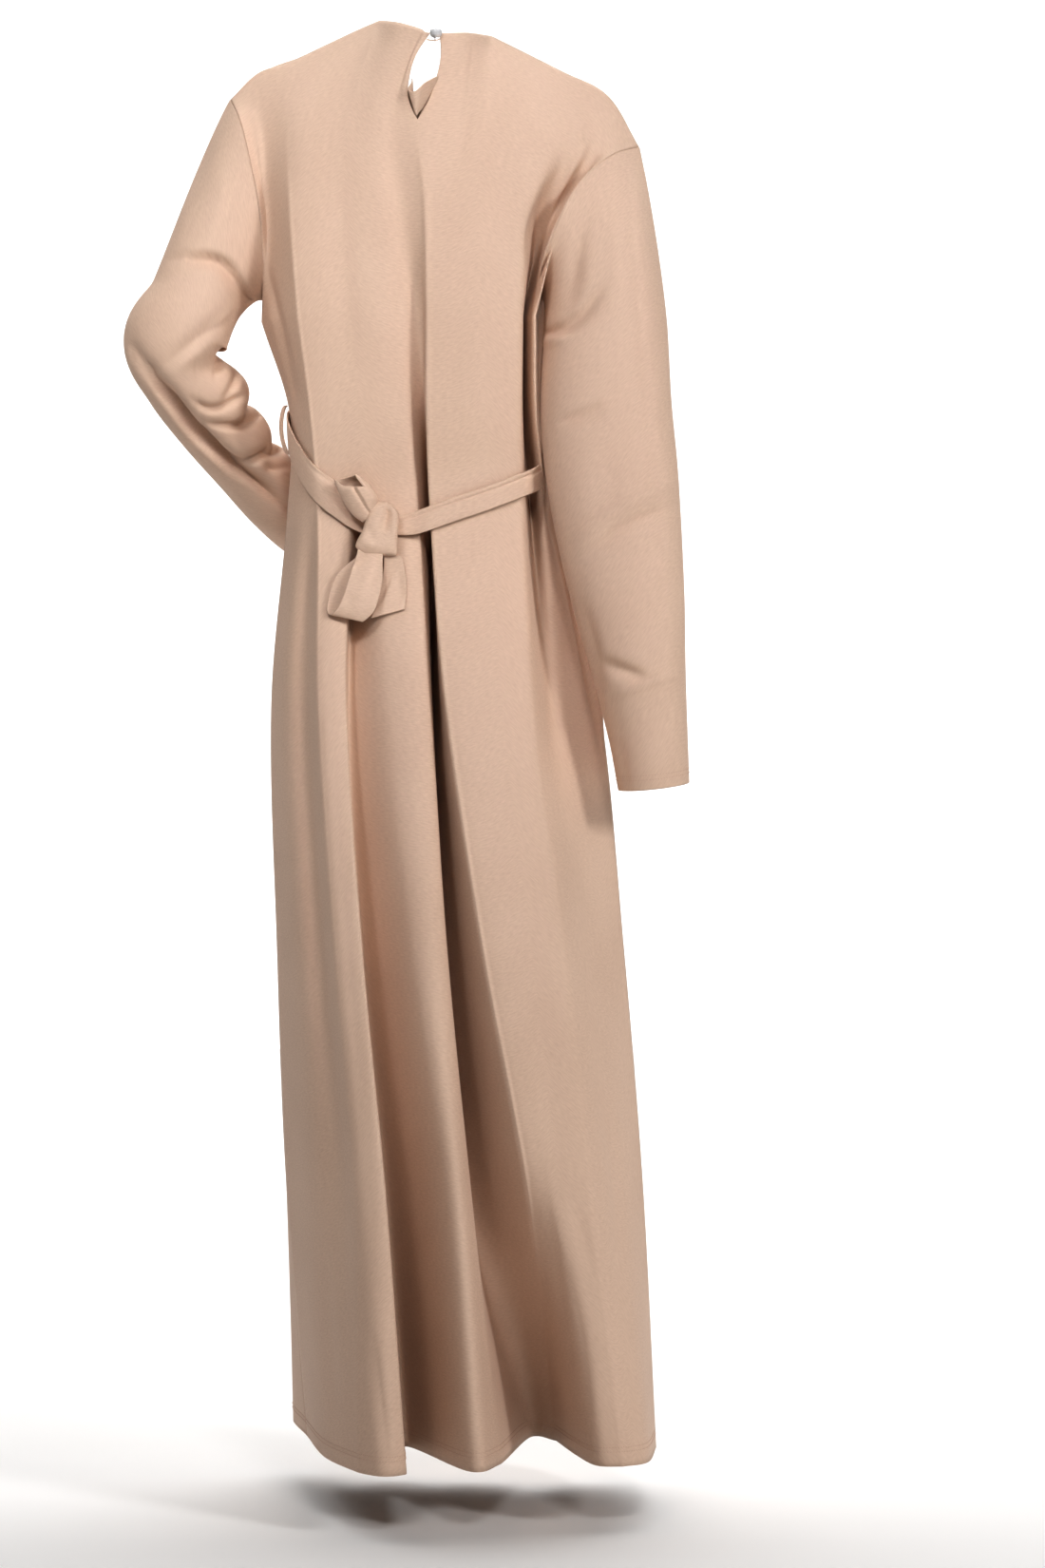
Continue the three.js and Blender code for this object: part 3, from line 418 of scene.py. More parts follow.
def cloth_object(name, grids, wall, material, wrap=False):
    """A sheet of cloth: grids of points in mm, joined where their points coincide,
    with the UV map "cloth" in metres and a wall given by Solidify."""
    corners = [g.reshape(-1, 3) for g in grids]
    starts = np.cumsum([0] + [len(c) for c in corners[:-1]])
    faces = np.concatenate([grid_faces(*g.shape[:2], wrap) + start for g, start in zip(grids, starts)])
    keys = np.round(np.concatenate(corners) * 1000).astype(np.int64)
    _, first, group = np.unique(keys, axis=0, return_index=True, return_inverse=True)
    faces = group.reshape(-1)[faces]
    mesh = bpy.data.meshes.new(name)
    mesh.vertices.add(len(first))
    metres = np.concatenate(corners)[first] / 1000
    mesh.vertices.foreach_set("co", metres.astype(np.float32).reshape(-1))
    mesh.loops.add(faces.size)
    mesh.loops.foreach_set("vertex_index", faces.astype(np.int32).reshape(-1))
    mesh.polygons.add(len(faces))
    mesh.polygons.foreach_set("loop_start", np.arange(0, faces.size, 4, dtype=np.int32))
    uvs = np.concatenate([cloth_uv(g, wrap) for g in grids])
    mesh.uv_layers.new(name="cloth").data.foreach_set("uv", uvs.astype(np.float32).reshape(-1))
    mesh.update(calc_edges=True)
    mesh.polygons.foreach_set("use_smooth", np.ones(len(faces), bool))
    mesh.materials.append(material)
    piece = bpy.data.objects.new(name, mesh)
    bpy.context.scene.collection.objects.link(piece)
    solidify = piece.modifiers.new("wall", "SOLIDIFY")
    solidify.thickness = wall / 1000
    solidify.offset = 0
    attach(piece, "root")
    return piece


ROW_DOWNS = np.concatenate([np.linspace(0.0, KEYHOLE_FOOT, 26), np.linspace(KEYHOLE_FOOT, 1, 34)[1:]])
ROW_HEIGHTS = np.linspace(UNDERARM_Z, HEM_Z, 162)[1:]


def running_mean(values, reach):
    """A mean along the first axis, weighted by a bell that is 0 just past the reach.
    Beyond its ends the row goes on as its own odd mirror image."""
    bell = np.hanning(2 * reach + 3)[1:-1]
    room = [(reach, reach)] + [(0, 0)] * (values.ndim - 1)
    padded = np.pad(values, room, mode="reflect", reflect_type="odd")
    return sum(share * padded[k:k + len(values)] for k, share in enumerate(bell / bell.sum()))


def eased_yoke(points, downs):
    """Evens y across the columns near the neck, where the fold lines still bunch: a
    running mean, full from a tenth to a third of the way down, and gone by 0.65."""
    rows = len(downs)
    bunched = points[:rows, :, 1]
    weight = smooth(downs * 10) * (1 - smooth((downs - 0.33) / 0.32))
    eased = points.copy()
    eased[:rows, :, 1] = mix(bunched, running_mean(bunched.T, reach=16).T, weight[:, None])
    return eased


def back_half(points, columns, side_x):
    """One side of the slit fold. Beside the keyhole the columns move over to its edge,
    less and less up to 1.2 folds away."""
    above = ROW_DOWNS < KEYHOLE_FOOT
    x = curve_through(np.linspace(0, 1, 5), side_x, ROW_DOWNS[above] / KEYHOLE_FOOT)
    near = np.maximum(0, 1 - np.abs(columns - SLIT_FOLD) / 1.2)
    slit = points[:len(x), int(np.argmin(np.abs(columns - SLIT_FOLD))), 0].copy()
    moved = points.copy()
    moved[:len(x), :, 0] += (x - slit)[:, None] * near
    moved = pleated(moved, columns, BACK_PLEATS)
    return creased(moved, outward_normals(moved, (0, 1, 0)), BACK_CREASES, 1)


LEFT_COLUMNS = np.linspace(0, SLIT_FOLD, 128)
RIGHT_COLUMNS = np.linspace(SLIT_FOLD, len(BACK_FOLDS) - 1, 80)
slit_column = len(LEFT_COLUMNS) - 1
whole_back = panel_grid(BACK_FOLDS, (LEFT_BACK_ARMHOLE, RIGHT_BACK_ARMHOLE),
                        np.concatenate([LEFT_COLUMNS, RIGHT_COLUMNS[1:]]), ROW_DOWNS, ROW_HEIGHTS)
whole_back = eased_yoke(whole_back, ROW_DOWNS)
back_grids = [back_half(whole_back[:, :slit_column + 1], LEFT_COLUMNS, KEYHOLE_LEFT),
              back_half(whole_back[:, slit_column:], RIGHT_COLUMNS, KEYHOLE_RIGHT)]
joined = slice(int(np.argmax(ROW_DOWNS >= KEYHOLE_FOOT)), None)
slit_line = (back_grids[0][joined, -1] + back_grids[1][joined, 0]) / 2
back_grids[0][joined, -1] = slit_line
back_grids[1][joined, 0] = slit_line
back = cloth_object("back_panel", back_grids, WALL, crepe)
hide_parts("back")

# --- Front panel -----------------------------------------------------------------------
# One piece of crepe with a plain round neck, seamed to the back at the shoulders and
# sides. It hangs straight from the chest in soft flutes, finished as the back is.
FRONT_FOLDS = [
    (-212, -5, -122, -190, -150, 0, 0,
     [(-107, 2), (-108, 0), (-127, -4), (-171, -8), (-196, -8), (-216, -4), (-229, 16)]),
    (-176, -8, -72, -160, -136, 0, 0,
     [(-124, -50), (-120, -50), (-130, -48), (-158, -62), (-186, -80), (-206, -82), (-222, -78)]),
    (-130, -8, -47, -128, -118, 0, 0,
     [(-108, -92), (-98, -86), (-96, -80), (-116, -104), (-142, -132), (-164, -150), (-176, -172)]),
    (-92, -7, -28, -84, -76, 0, 0,
     [(-68, -104), (-62, -94), (-60, -88), (-70, -108), (-88, -122), (-104, -124), (-112, -128)]),
    (-59, -1, -12.5, -52, -46, 0, 1,
     [(-40, -109), (-36, -98), (-34, -91), (-42, -114), (-52, -132), (-64, -142), (-70, -150)]),
    (-36, -44, -55, -25, -22, 0, 0,
     [(-17, -111), (-14, -99), (-13, -92), (-18, -117), (-24, -138), (-32, -156), (-36, -176)]),
    (-1, -60, -76, 4, 6, 0, 0,
     [(8, -111), (9, -99), (9, -92), (9, -114), (6, -128), (4, -138), (2, -148)]),
    (34, -44, -48, 32, 32, 0, 0,
     [(32, -110), (31, -98), (30, -92), (32, -117), (34, -140), (38, -162), (40, -184)]),
    (56, -1, 7.5, 62, 60, 0, 1,
     [(58, -107), (55, -97), (52, -91), (56, -114), (60, -134), (66, -152), (68, -168)]),
    (92, -7, -8, 96, 96, 0, 0,
     [(94, -102), (84, -94), (80, -88), (84, -110), (88, -122), (90, -136), (92, -150)]),
    (134, -7, -27, 134, 134, 0, 0,
     [(130, -86), (114, -84), (112, -78), (126, -106), (130, -142), (132, -184), (132, -232)]),
    (176, -7, -43, 166, 164, 0, 0,
     [(160, -48), (138, -46), (140, -46), (158, -62), (158, -88), (157, -128), (155, -180)]),
    (211, -5, -73, 176, 168, 0, 0,
     [(178, 0), (149, 0), (152, -8), (169, -12), (164, -25), (155, -40), (134, -60)]),
]
LEFT_FRONT_ARMHOLE = [(211, -5, -73), (194, -34, -104), (176, -48, -150), (168, -50, -204),
                      (170, -34, -258),
                      (178, 0, -305)]
RIGHT_FRONT_ARMHOLE = [(-212, -5, -122), (-200, -34, -142), (-182, -54, -176), (-156, -58, -222),
                       (-128, -38, -274),
                       (-107, 2, -305)]
FRONT_PLEATS = [
    (3.0, 0.5, 0.5, [(-420, 0, 0), (-560, 0, 6), (-900, 0, 10), (-1200, 0, 14), (-1468, 0, 16)]),
    (6.0, 0.4, 0.4, [(-430, 0, 0), (-600, 0, 6), (-900, 0, 9), (-1200, 0, 12), (-1468, 0, 14)]),
    (9.0, 0.5, 0.5, [(-430, 0, 0), (-560, 0, 7), (-900, 0, 12), (-1200, 0, 14), (-1468, 0, 16)]),
]
FRONT_CREASES = [
    ([(-150, -150), (-128, -200), (-104, -262)], 8, 6, -3.5),
    ([(-120, -250), (-112, -300), (-108, -360)], 7, 8, 2.5),
    ([(158, -160), (136, -210), (118, -280)], 6, 8, -3.5),
    ([(60, -130), (40, -200), (30, -290)], 14, 10, -2),
    ([(-44, -140), (-30, -220), (-26, -300)], 10, 14, -2),
    ([(70, -440), (76, -520), (72, -640)], 7, 8, -3),
    ([(-48, -440), (-54, -540), (-52, -660)], 8, 7, -3),
    ([(14, -430), (20, -500), (18, -580)], 6, 7, 2),
    ([(-140, -720), (-132, -820), (-138, -930)], 12, 9, -2.5),
    ([(110, -900), (116, -1020), (112, -1120)], 12, 9, -2.5),
]
front_columns = np.linspace(0, len(FRONT_FOLDS) - 1, 150)
front_grid = panel_grid(FRONT_FOLDS, (RIGHT_FRONT_ARMHOLE, LEFT_FRONT_ARMHOLE), front_columns,
                        ROW_DOWNS, ROW_HEIGHTS)
front_grid = pleated(front_grid, front_columns, FRONT_PLEATS)
front_grid = creased(front_grid, outward_normals(front_grid, (0, -1, 0)), FRONT_CREASES, -1)
front = cloth_object("front_panel", [front_grid], WALL, crepe)
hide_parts("front")

# --- Left sleeve -----------------------------------------------------------------------
# One piece of crepe, seamed under the arm and set into the armhole. The elbow is
# bent, so its cloth bags outside and bunches into rolls inside, and a deep fold
# runs from the elbow along the forearm. The cuff lies at the front of the waist.
SEAM_SHIFT = 0.35
BLEND = 0.2
# Sections from the armhole to the cuff. Columns: centre; direction of the outer
# edge; half width; half depth.
LEFT_SLEEVE = [
    ((208, 2, -192), (1, 0, 0.25), 66, 50), ((226, 12, -240), (1, 0, 0.3), 55, 52),
    ((246, 26, -286), (1, 0.05, 0.35), 47, 50), ((264, 34, -328), (1, 0.15, 0.02), 54, 47),
    ((254, 18, -368), (0.9, 0.25, -0.45), 44, 44), ((228.5, -15.5, -407), (0.7, 0.25, -0.75), 40, 42),
    ((196, -52, -445), (0.6, 0.25, -0.8), 39, 40), ((164, -89, -481), (0.55, 0.2, -0.8), 39, 38),
    ((132, -128, -505), (0.4, 0.1, -0.9), 41, 32), ((92, -152, -518), (0.2, 0, -1), 40, 26),
    ((60, -158, -522), (0.1, 0, -1), 36, 24)]
# Lift of the inner edge along the sleeve, where its rolls stand out and sink.
INNER_ROLLS = [(0.24, 0), (0.32, -5), (0.365, -11), (0.4, -1), (0.44, 8), (0.475, 9), (0.505, -5),
               (0.535, 2), (0.57, 1),
               (0.6, -10), (0.625, -3), (0.65, -4), (0.675, -9), (0.71, 0), (0.75, -5), (0.8, 0)]
LEFT_CREASES = [
    ([(258, -243), (247, -244), (235, -243), (222, -245), (210, -251), (200, -264), (190, -280),
      (184, -292)], 11, 3, -13),
    ([(312, -330), (304, -346), (294, -362), (284, -378)], 4, 9, -7),
    ([(290, -366), (281, -382), (270, -396), (251, -422), (237, -435), (212, -457), (187, -472),
      (150, -501)], 2.6, 12, -22),
    ([(238, -418), (232, -426), (222, -440), (212, -455)], 5, 3, -4),
    ([(223, -336), (223, -350), (225, -366)], 2, 5, -5),
    ([(206, -352), (204, -364), (208, -378), (216, -388)], 4, 3, -6),
    ([(244, -392), (230, -399), (215, -396), (203, -387), (196, -382)], 3, 5, -9),
    ([(236, -413), (217, -415), (201, -413), (190, -405), (180, -396)], 3, 5, -9),
    ([(214, -449), (198, -450), (182, -444), (166, -433), (160, -426)], 4, 6, -10),
    ([(176, -452), (166, -455), (152, -450)], 3, 4, -4),
    ([(206, -300), (222, -315), (240, -331), (258, -346), (278, -360)], 9, 7, -4),
    ([(226, -330), (246, -346), (262, -362)], 7, 6, 2.5),
    ([(203, -292), (214, -306), (226, -318)], 4, 4, 2),
    ([(243, -330), (242, -371), (239, -398), (237, -421), (221, -448)], 1.2, 1.2, -0.9),
    ([(236, -110), (240, -150), (246, -196)], 8, 12, -2),
    ([(214, -150), (218, -190), (228, -222)], 9, 7, 2),
]
LEFT_FRONT_CREASES = [
    ([(196, -286), (220, -300), (246, -318)], 6, 4, -5),
    ([(204, -340), (226, -356), (250, -366)], 5, 4, -6),
    ([(196, -366), (216, -384), (238, -396)], 5, 4, -6),
    ([(170, -404), (190, -424), (210, -440)], 5, 4, -5),
    ([(214, -150), (222, -190), (232, -230)], 10, 8, -3),
]


def unit(vectors):
    """Vectors with their length made 1."""
    return vectors / np.linalg.norm(vectors, axis=-1, keepdims=True)


def tube_points(sections, alongs, turns, lift=0):
    """A tube. A point is centre - cos(turn) (wide + lift) outer
    + sin(turn) (deep + lift) rear, so turn 0 is the inner edge."""
    centres = [s[0] for s in sections]
    centre = path_through(centres, alongs)
    before, after = np.maximum(0, alongs - 0.02), np.minimum(1, alongs + 0.02)
    ahead = unit(path_through(centres, after) - path_through(centres, before))
    outer = path_through([s[1] for s in sections], alongs)
    outer = unit(outer - ahead * (outer * ahead).sum(axis=1, keepdims=True))
    rear = np.cross(outer, ahead)
    rear *= np.where(rear[:, 1:2] < 0, -1, 1)
    wide, deep = np.array(path_through([s[2:] for s in sections], alongs)).T
    angle = turns * 2 * math.pi
    return (centre[:, None] - (np.cos(angle) * (wide[:, None] + lift))[..., None] * outer[:, None]
            + (np.sin(angle) * (deep[:, None] + lift))[..., None] * rear[:, None])


def sleeve_grid(sections, armholes, away, alongs, turns, lift, creases, front_creases):
    """A sleeve: the armhole's ring, moved off the panels, becomes the tube's sections
    over the first fifth, and then it is creased on both sides."""
    rear, front = [path_through(edge, np.clip(share, 0, 1))
                   for edge, share in zip(armholes, (1 - turns * 2, turns * 2 - 1))]
    ring = np.where((turns <= 0.5)[:, None], rear, front) + np.array(away) * SEAM_SHIFT
    tube = tube_points(sections, alongs, turns, lift)
    points = mix(ring[None], tube, smooth(alongs / BLEND)[:, None, None])
    outside = points - points.mean(axis=1, keepdims=True)
    points = creased(points, outward_normals(points, outside, True), creases, 1)
    return creased(points, outward_normals(points, outside, True), front_creases, -1)


TURNS = np.arange(156) / 156
SLEEVE_ALONGS = np.linspace(0, 1, 250)
roll_places, roll_heights = np.array(INNER_ROLLS).T
inner = np.maximum(0, np.cos(TURNS * 2 * math.pi - 0.35)) ** 1.5
along_rolls = np.clip(SLEEVE_ALONGS, roll_places[0], roll_places[-1])
roll_lift = curve_through(roll_places, roll_heights, along_rolls)[:, None] * inner
left_grid = sleeve_grid(LEFT_SLEEVE, (LEFT_BACK_ARMHOLE, LEFT_FRONT_ARMHOLE), (1, 0, -0.1), SLEEVE_ALONGS,
                        TURNS, roll_lift, LEFT_CREASES, LEFT_FRONT_CREASES)
sleeve_left = cloth_object("left_sleeve", [left_grid], WALL, crepe, wrap=True)
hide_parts("sleeve_left")

# --- Right sleeve -----------------------------------------------------------------------
# The same cut as the left sleeve, hanging straight down. Its crown is pressed flat
# into a soft crease down the outer side, and drag folds run up from the elbow.
RIGHT_SLEEVE = [
    ((-172, 2, -205), (-1, 0, 0.4), 56, 60), ((-177, 22, -264), (-1, 0, 0.2), 60, 56),
    ((-177, 36, -330), (-1, 0, 0.1), 64, 53), ((-177, 48, -396), (-1, 0, 0.06), 67, 51),
    ((-183, 57, -464), (-1, 0, 0.08), 67, 49), ((-191, 64, -532), (-1, 0, 0.1), 63, 47),
    ((-201, 67, -602), (-1, 0, 0.12), 56, 45), ((-211, 65, -670), (-1, 0, 0.12), 47, 43),
    ((-220, 59, -732), (-1, 0, 0.12), 40, 40), ((-226, 54, -785), (-1, 0, 0.1), 36, 38)]
RIGHT_CREASES = [
    ([(-174, -275), (-163, -289), (-151, -303), (-143, -309), (-131, -316), (-119, -320),
      (-107, -321)], 4, 9, -8),
    ([(-112, -326), (-124, -330), (-140, -328)], 6, 5, 5),
    ([(-176, -397), (-161, -405), (-140, -412), (-124, -418)], 5, 8, -5),
    ([(-243, -475), (-212, -493), (-178, -509), (-140, -532)], 4, 8, 4.5),
    ([(-248, -500), (-217, -512), (-187, -526), (-169, -542), (-147, -555)], 4, 6, -4),
    ([(-218, -676), (-193, -668), (-169, -659)], 7, 8, -7),
    ([(-249, -670), (-217, -682), (-187, -692)], 4, 5, 3.5),
    ([(-212, -160), (-208, -200), (-216, -300), (-226, -420), (-236, -560), (-244, -700)], 4, 12, 3),
    ([(-158, -200), (-146, -250), (-138, -300)], 9, 9, -5),
    ([(-196, -190), (-188, -250), (-184, -330)], 12, 12, 3),
    ([(-190, -740), (-194, -760), (-199, -785)], 4, 4, -1.5),
    ([(-150, -600), (-162, -640), (-172, -700)], 7, 7, -4),
    ([(-170, -430), (-182, -480), (-186, -560)], 14, 10, -2),
]
RIGHT_FRONT_CREASES = [
    ([(-196, -250), (-170, -290), (-140, -316)], 8, 5, -4),
    ([(-240, -430), (-200, -452), (-160, -462)], 6, 8, -3),
    ([(-246, -500), (-210, -522), (-170, -534)], 5, 7, -3),
    ([(-236, -640), (-210, -660), (-186, -670)], 6, 6, -3),
]
right_grid = sleeve_grid(RIGHT_SLEEVE, (RIGHT_BACK_ARMHOLE, RIGHT_FRONT_ARMHOLE), (-1.3, 0, -0.6),
                         SLEEVE_ALONGS, TURNS, 0, RIGHT_CREASES, RIGHT_FRONT_CREASES)
sleeve_right = cloth_object("right_sleeve", [right_grid], WALL, crepe, wrap=True)
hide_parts("sleeve_right")

# --- Belt ---------------------------------------------------------------------------
# A tie belt of double crepe, turned and pressed flat. It lies over both panels from
# the knot round the left side and the front, and comes back to the knot from the
# right, where it is folded to half its width along the top edge.
BELT_WALL = 1.8
BELT_STAND = 4
# Stations: panel, fold, height, half width, from the knot round to the knot.
BELT_STATIONS = [
    ("back", 5.4, -518, 12), ("back", 5, -514, 14), ("back", 4, -504, 18), ("back", 3, -492, 19),
    ("back", 2, -476, 19),
    ("back", 1, -446, 18), ("back", 0, -416, 16), ("front", 11, -404, 17), ("front", 10, -400, 19),
    ("front", 9, -400, 19),
    ("front", 8, -401, 19), ("front", 6, -403, 19), ("front", 4, -407, 19), ("front", 3, -412, 19),
    ("front", 2, -419, 18),
    ("front", 1, -430, 16), ("front", 0, -445, 13), ("back", 13, -466, 12), ("back", 12, -477, 12),
    ("back", 11, -491, 12),
    ("back", 10, -502.5, 12), ("back", 9, -513, 12), ("back", 6.8, -518.5, 11), ("back", 6.2, -520.5, 9)]
# Lengthwise folds. Columns: start and end, as shares of the length; place across,
# 0 at the top edge; width across; height.
BELT_FOLDS = [(0.0, 0.16, 0.55, 0.12, -0.8), (0.0, 0.2, 0.32, 0.14, 0.6), (0.08, 0.2, 0.12, 0.06, -0.9),
              (0.3, 0.66, 0.45, 0.2, 0.8), (0.7, 1.0, 0.2, 0.05, -1.3), (0.74, 1.0, 0.08, 0.07, 1.0),
              (0.84, 1.0, 0.8, 0.1, 0.6)]


def belt_station(panel, fold, z, half):
    """The top, middle and bottom of the belt on a panel, moved out by the belt's stand."""
    folds, side = (BACK_FOLDS, 1) if panel == "back" else (FRONT_FOLDS, -1)
    last = len(folds) - 1
    heights = np.array([z + half, z, z - half], float)
    reach = 1.5 if side == 1 and 4 < fold < 10.5 else 0.5
    near = np.array([max(0, fold - reach), fold, min(last, fold + reach)])
    before, here, after = fold_points(folds, near, -np.sort(-heights))
    out = np.stack([before[:, 1] - after[:, 1], after[:, 0] - before[:, 0], np.zeros(3)], axis=1)
    out = unit(out) * np.where(out[:, 1:2] * side < 0, -1, 1)
    if fold in (0, last):
        out = np.tile([math.copysign(1, here[0, 0]), 0, 0], (3, 1))
    return here + out * BELT_STAND


def belt_grid(steps, rows):
    """The belt: its stations joined lengthwise, arched across by a little, and folded."""
    stations = np.array([belt_station(*station) for station in BELT_STATIONS])
    lines = running_mean(path_through(stations, np.linspace(0, 1, steps)), reach=9)
    across = np.linspace(0, 1, rows)
    points = curve_through([0, 0.5, 1], np.swapaxes(lines, 0, 1), across)
    outside = points - points.mean(axis=(0, 1))
    outside[..., 2] = 0
    normal = outward_normals(points, outside)
    length = np.linspace(0, 1, steps)
    lift = np.tile(0.9 * np.sin(across * math.pi)[:, None], (1, steps))
    for start, end, place, width, height in BELT_FOLDS:
        inside = np.clip((length - start) / (end - start), 0.02, 0.98)
        fade = np.where((length >= start) & (length <= end), np.sin(inside * math.pi) ** 0.5, 0)
        lift += height * fade[None] * np.exp(-((across[:, None] - place) / width) ** 2)
    return points + normal * lift[..., None]


belt = cloth_object("tie_belt", [belt_grid(steps=360, rows=22)], BELT_WALL, crepe)
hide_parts("belt")

# --- Knot -----------------------------------------------------------------------------
# The belt's end, passed once over the knot from the top and drawn down, so it lies
# as a flat wrap with a dent below its upper edge. It is shown as a closed form.
# Rows from the top. Columns: height; left x; right x; centre y; half depth.
KNOT_ROWS = [(-496.5, 55, 47, 88, 3), (-499, 59, 42, 88.5, 6), (-503, 62, 38, 88.5, 8.5),
             (-508, 64.5, 34.5, 88.5, 9.5),
             (-516, 68, 34, 88.5, 10), (-528, 72, 35, 89, 10), (-536, 76.5, 35.5, 89.5, 9.5),
             (-543, 77.5, 35.5, 90, 8.5),
             (-548.5, 71, 35.8, 90.5, 6), (-551, 62, 37, 90.5, 3)]
KNOT_CREASES = [([(45, -499), (47, -512), (51, -528)], 2.5, 6, -6.5),
                ([(56, -497), (49, -500), (40, -504)], 2.5, 2.5, 1.6),
                ([(40, -504), (38.5, -525), (37, -545)], 3, 3, 1.2),
                ([(74, -532), (66, -539), (54, -544)], 4, 4, 1.5),
                ([(70, -520), (62, -528), (56, -540)], 4, 5, -1.2)]


def knot_grid(rows, sides):
    """Rings of a flat wrap: x and y are the signed powers 0.6 of cosine and sine."""
    table = np.array(KNOT_ROWS)
    z, left, right, y, deep = path_through(table, np.linspace(0, 1, rows)).T
    angle = np.linspace(0, 2 * math.pi, sides, endpoint=False)
    across = np.sign(np.cos(angle)) * np.abs(np.cos(angle)) ** 0.6
    rear = np.sign(np.sin(angle)) * np.abs(np.sin(angle)) ** 0.6
    points = np.stack([(left + right)[:, None] / 2 + across * (left - right)[:, None] / 2,
                       y[:, None] + rear * deep[:, None], np.broadcast_to(z[:, None],
                                                                          (rows, sides))], axis=-1)
    outside = points - points.mean(axis=1, keepdims=True)
    return creased(points, outward_normals(points, outside, True), KNOT_CREASES, 1)


def lump_object(name, grid, material):
    """A closed form: a grid of rings, with its first and last ring drawn to a point."""
    rows, sides = grid.shape[:2]
    ends = np.stack([grid[0].mean(axis=0), grid[-1].mean(axis=0)])
    points = np.concatenate([grid.reshape(-1, 3), ends]) / 1000
    quads = grid_faces(rows, sides, True)[:, ::-1].tolist()
    ring = np.arange(sides)
    top = [(rows * sides, int(a), int(b)) for a, b in zip(ring, np.roll(ring, -1))]
    last = ring + (rows - 1) * sides
    bottom = [(rows * sides + 1, int(b), int(a)) for a, b in zip(last, np.roll(last, -1))]
    mesh = bpy.data.meshes.new(name)
    mesh.from_pydata(points.tolist(), [], quads + top + bottom)
    side_uv = cloth_uv(grid, True)
    uvs = np.concatenate([side_uv.reshape(-1, 4, 2)[:, ::-1].reshape(-1, 2), np.zeros((6 * sides, 2))])
    mesh.uv_layers.new(name="cloth").data.foreach_set("uv", uvs.astype(np.float32).reshape(-1))
    mesh.update()
    mesh.polygons.foreach_set("use_smooth", np.ones(len(mesh.polygons), bool))
    mesh.materials.append(material)
    piece = bpy.data.objects.new(name, mesh)
    bpy.context.scene.collection.objects.link(piece)
    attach(piece, "root")
    return piece


knot = lump_object("knot", knot_grid(rows=70, sides=96), crepe)
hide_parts("belt_knot")

# --- Upper bow loop -----------------------------------------------------------------------
# A short loop of the belt that stands up out of the knot, its mouth towards the
# upper left. Its near face is folded in two along a line down its middle.
# Rows from the mouth to the knot. Columns: left x, z; right x, z; y; half depth.
LOOP_ROWS = [(99, -474, 78, -469.5, 93.5, 8.5), (97, -481, 71, -473.5, 93, 11.3),
             (93, -490, 63.5, -481, 92.3, 10.8),
             (87, -501, 57.5, -490, 91, 9.3), (80, -510, 55, -497, 89, 7), (70, -517, 54, -503, 88, 5)]
MOUTH_DIP, FOLD_STEP, FOLD_GROOVE = 9, 2.2, 2.4


def loop_grid(rows, sides):
    """Rings of a flattened tube. At the mouth the near half's edge dips towards its
    right, and the near half has a groove down its middle and a step right of it."""
    table = path_through(np.array(LOOP_ROWS, float), np.linspace(0, 1, rows))
    turn = np.linspace(0, 1, sides, endpoint=False)
    near = turn < 0.5
    across = np.where(near, turn * 2, 2 - turn * 2)
    bulge = np.sin(turn * 2 * math.pi)
    bulge = np.sign(bulge) * np.abs(bulge) ** 0.55
    left, right = table[:, None, 0:2], table[:, None, 2:4]
    flat = mix(left, right, across[None, :, None])
    down = unit(np.gradient((left + right)[:, 0] / 2, axis=0))
    fade = (1 - np.linspace(0, 1, rows)) ** 2
    dip = MOUTH_DIP * (smooth(across * 6) + across) * smooth((0.97 - across) * 12)
    sag = fade[:, None] * np.where(near, dip, 0)
    flat = flat + down[:, None] * sag[..., None]
    ply = FOLD_STEP * smooth((across - 0.56) * 14) - FOLD_GROOVE * np.exp(-((across - 0.5) / 0.06) ** 2)
    step = np.where(near, ply, 0)
    y = table[:, None, 4] + bulge * table[:, None, 5] + step * np.linspace(1, 0.4, rows)[:, None]
    return np.stack([flat[..., 0], y, flat[..., 1]], axis=-1)


loop_upper = cloth_object("upper_bow_loop", [loop_grid(rows=60, sides=110)], WALL, crepe, wrap=True)
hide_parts("bow_loop_upper")

# --- Lower bow loop ------------------------------------------------------------------------
# The other loop hangs from the knot: down its near side, round at the bottom and up
# behind, with its left edges standing a little apart.
# Rows along the strip. Columns: left x, y, z; right x, y, z.
LOWER_LOOP = [
    ((75, 94.2, -544.5), (50, 94.4, -549.4)), ((84, 103, -575), (51, 103, -580)),
    ((93, 107.5, -601), (58, 107.5, -607)), ((103, 102, -611), (70, 104, -618.5)),
    ((107, 95, -602), (60, 97.5, -608)), ((98, 92, -572), (51, 93.6, -580)),
    ((77, 91.2, -552.5), (52, 91.5, -553.5))]
LOWER_CREASES = [([(66, -549), (74, -557), (82, -562)], 4, 5, -3),
                 ([(58, -552), (66, -575), (76, -600)], 9, 9, 1.6),
                 ([(54, -556), (60, -575), (66, -592)], 4, 6, -1.2),
                 ([(90, -582), (84, -598), (80, -610)], 6, 6, -1)]


def strip_grid(rows, steps, columns, creases):
    """A strip of cloth: straight across between two smooth edges, then creased."""
    left = path_through([row[0] for row in rows], np.linspace(0, 1, steps))
    right = path_through([row[1] for row in rows], np.linspace(0, 1, steps))
    points = mix(left[:, None], right[:, None], np.linspace(0, 1, columns)[None, :, None])
    normal = outward_normals(points[:steps // 2], (0, 1, 0))
    whole = outward_normals(points, (0, 0, 0))
    whole = whole * (1 if (whole[:steps // 2] * normal).sum() > 0 else -1)
    return creased(points, whole, creases, 1)


lower_grid = strip_grid(LOWER_LOOP, steps=110, columns=34, creases=LOWER_CREASES)
loop_lower = cloth_object("lower_bow_loop", [lower_grid], WALL, crepe)
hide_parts("bow_loop_lower")

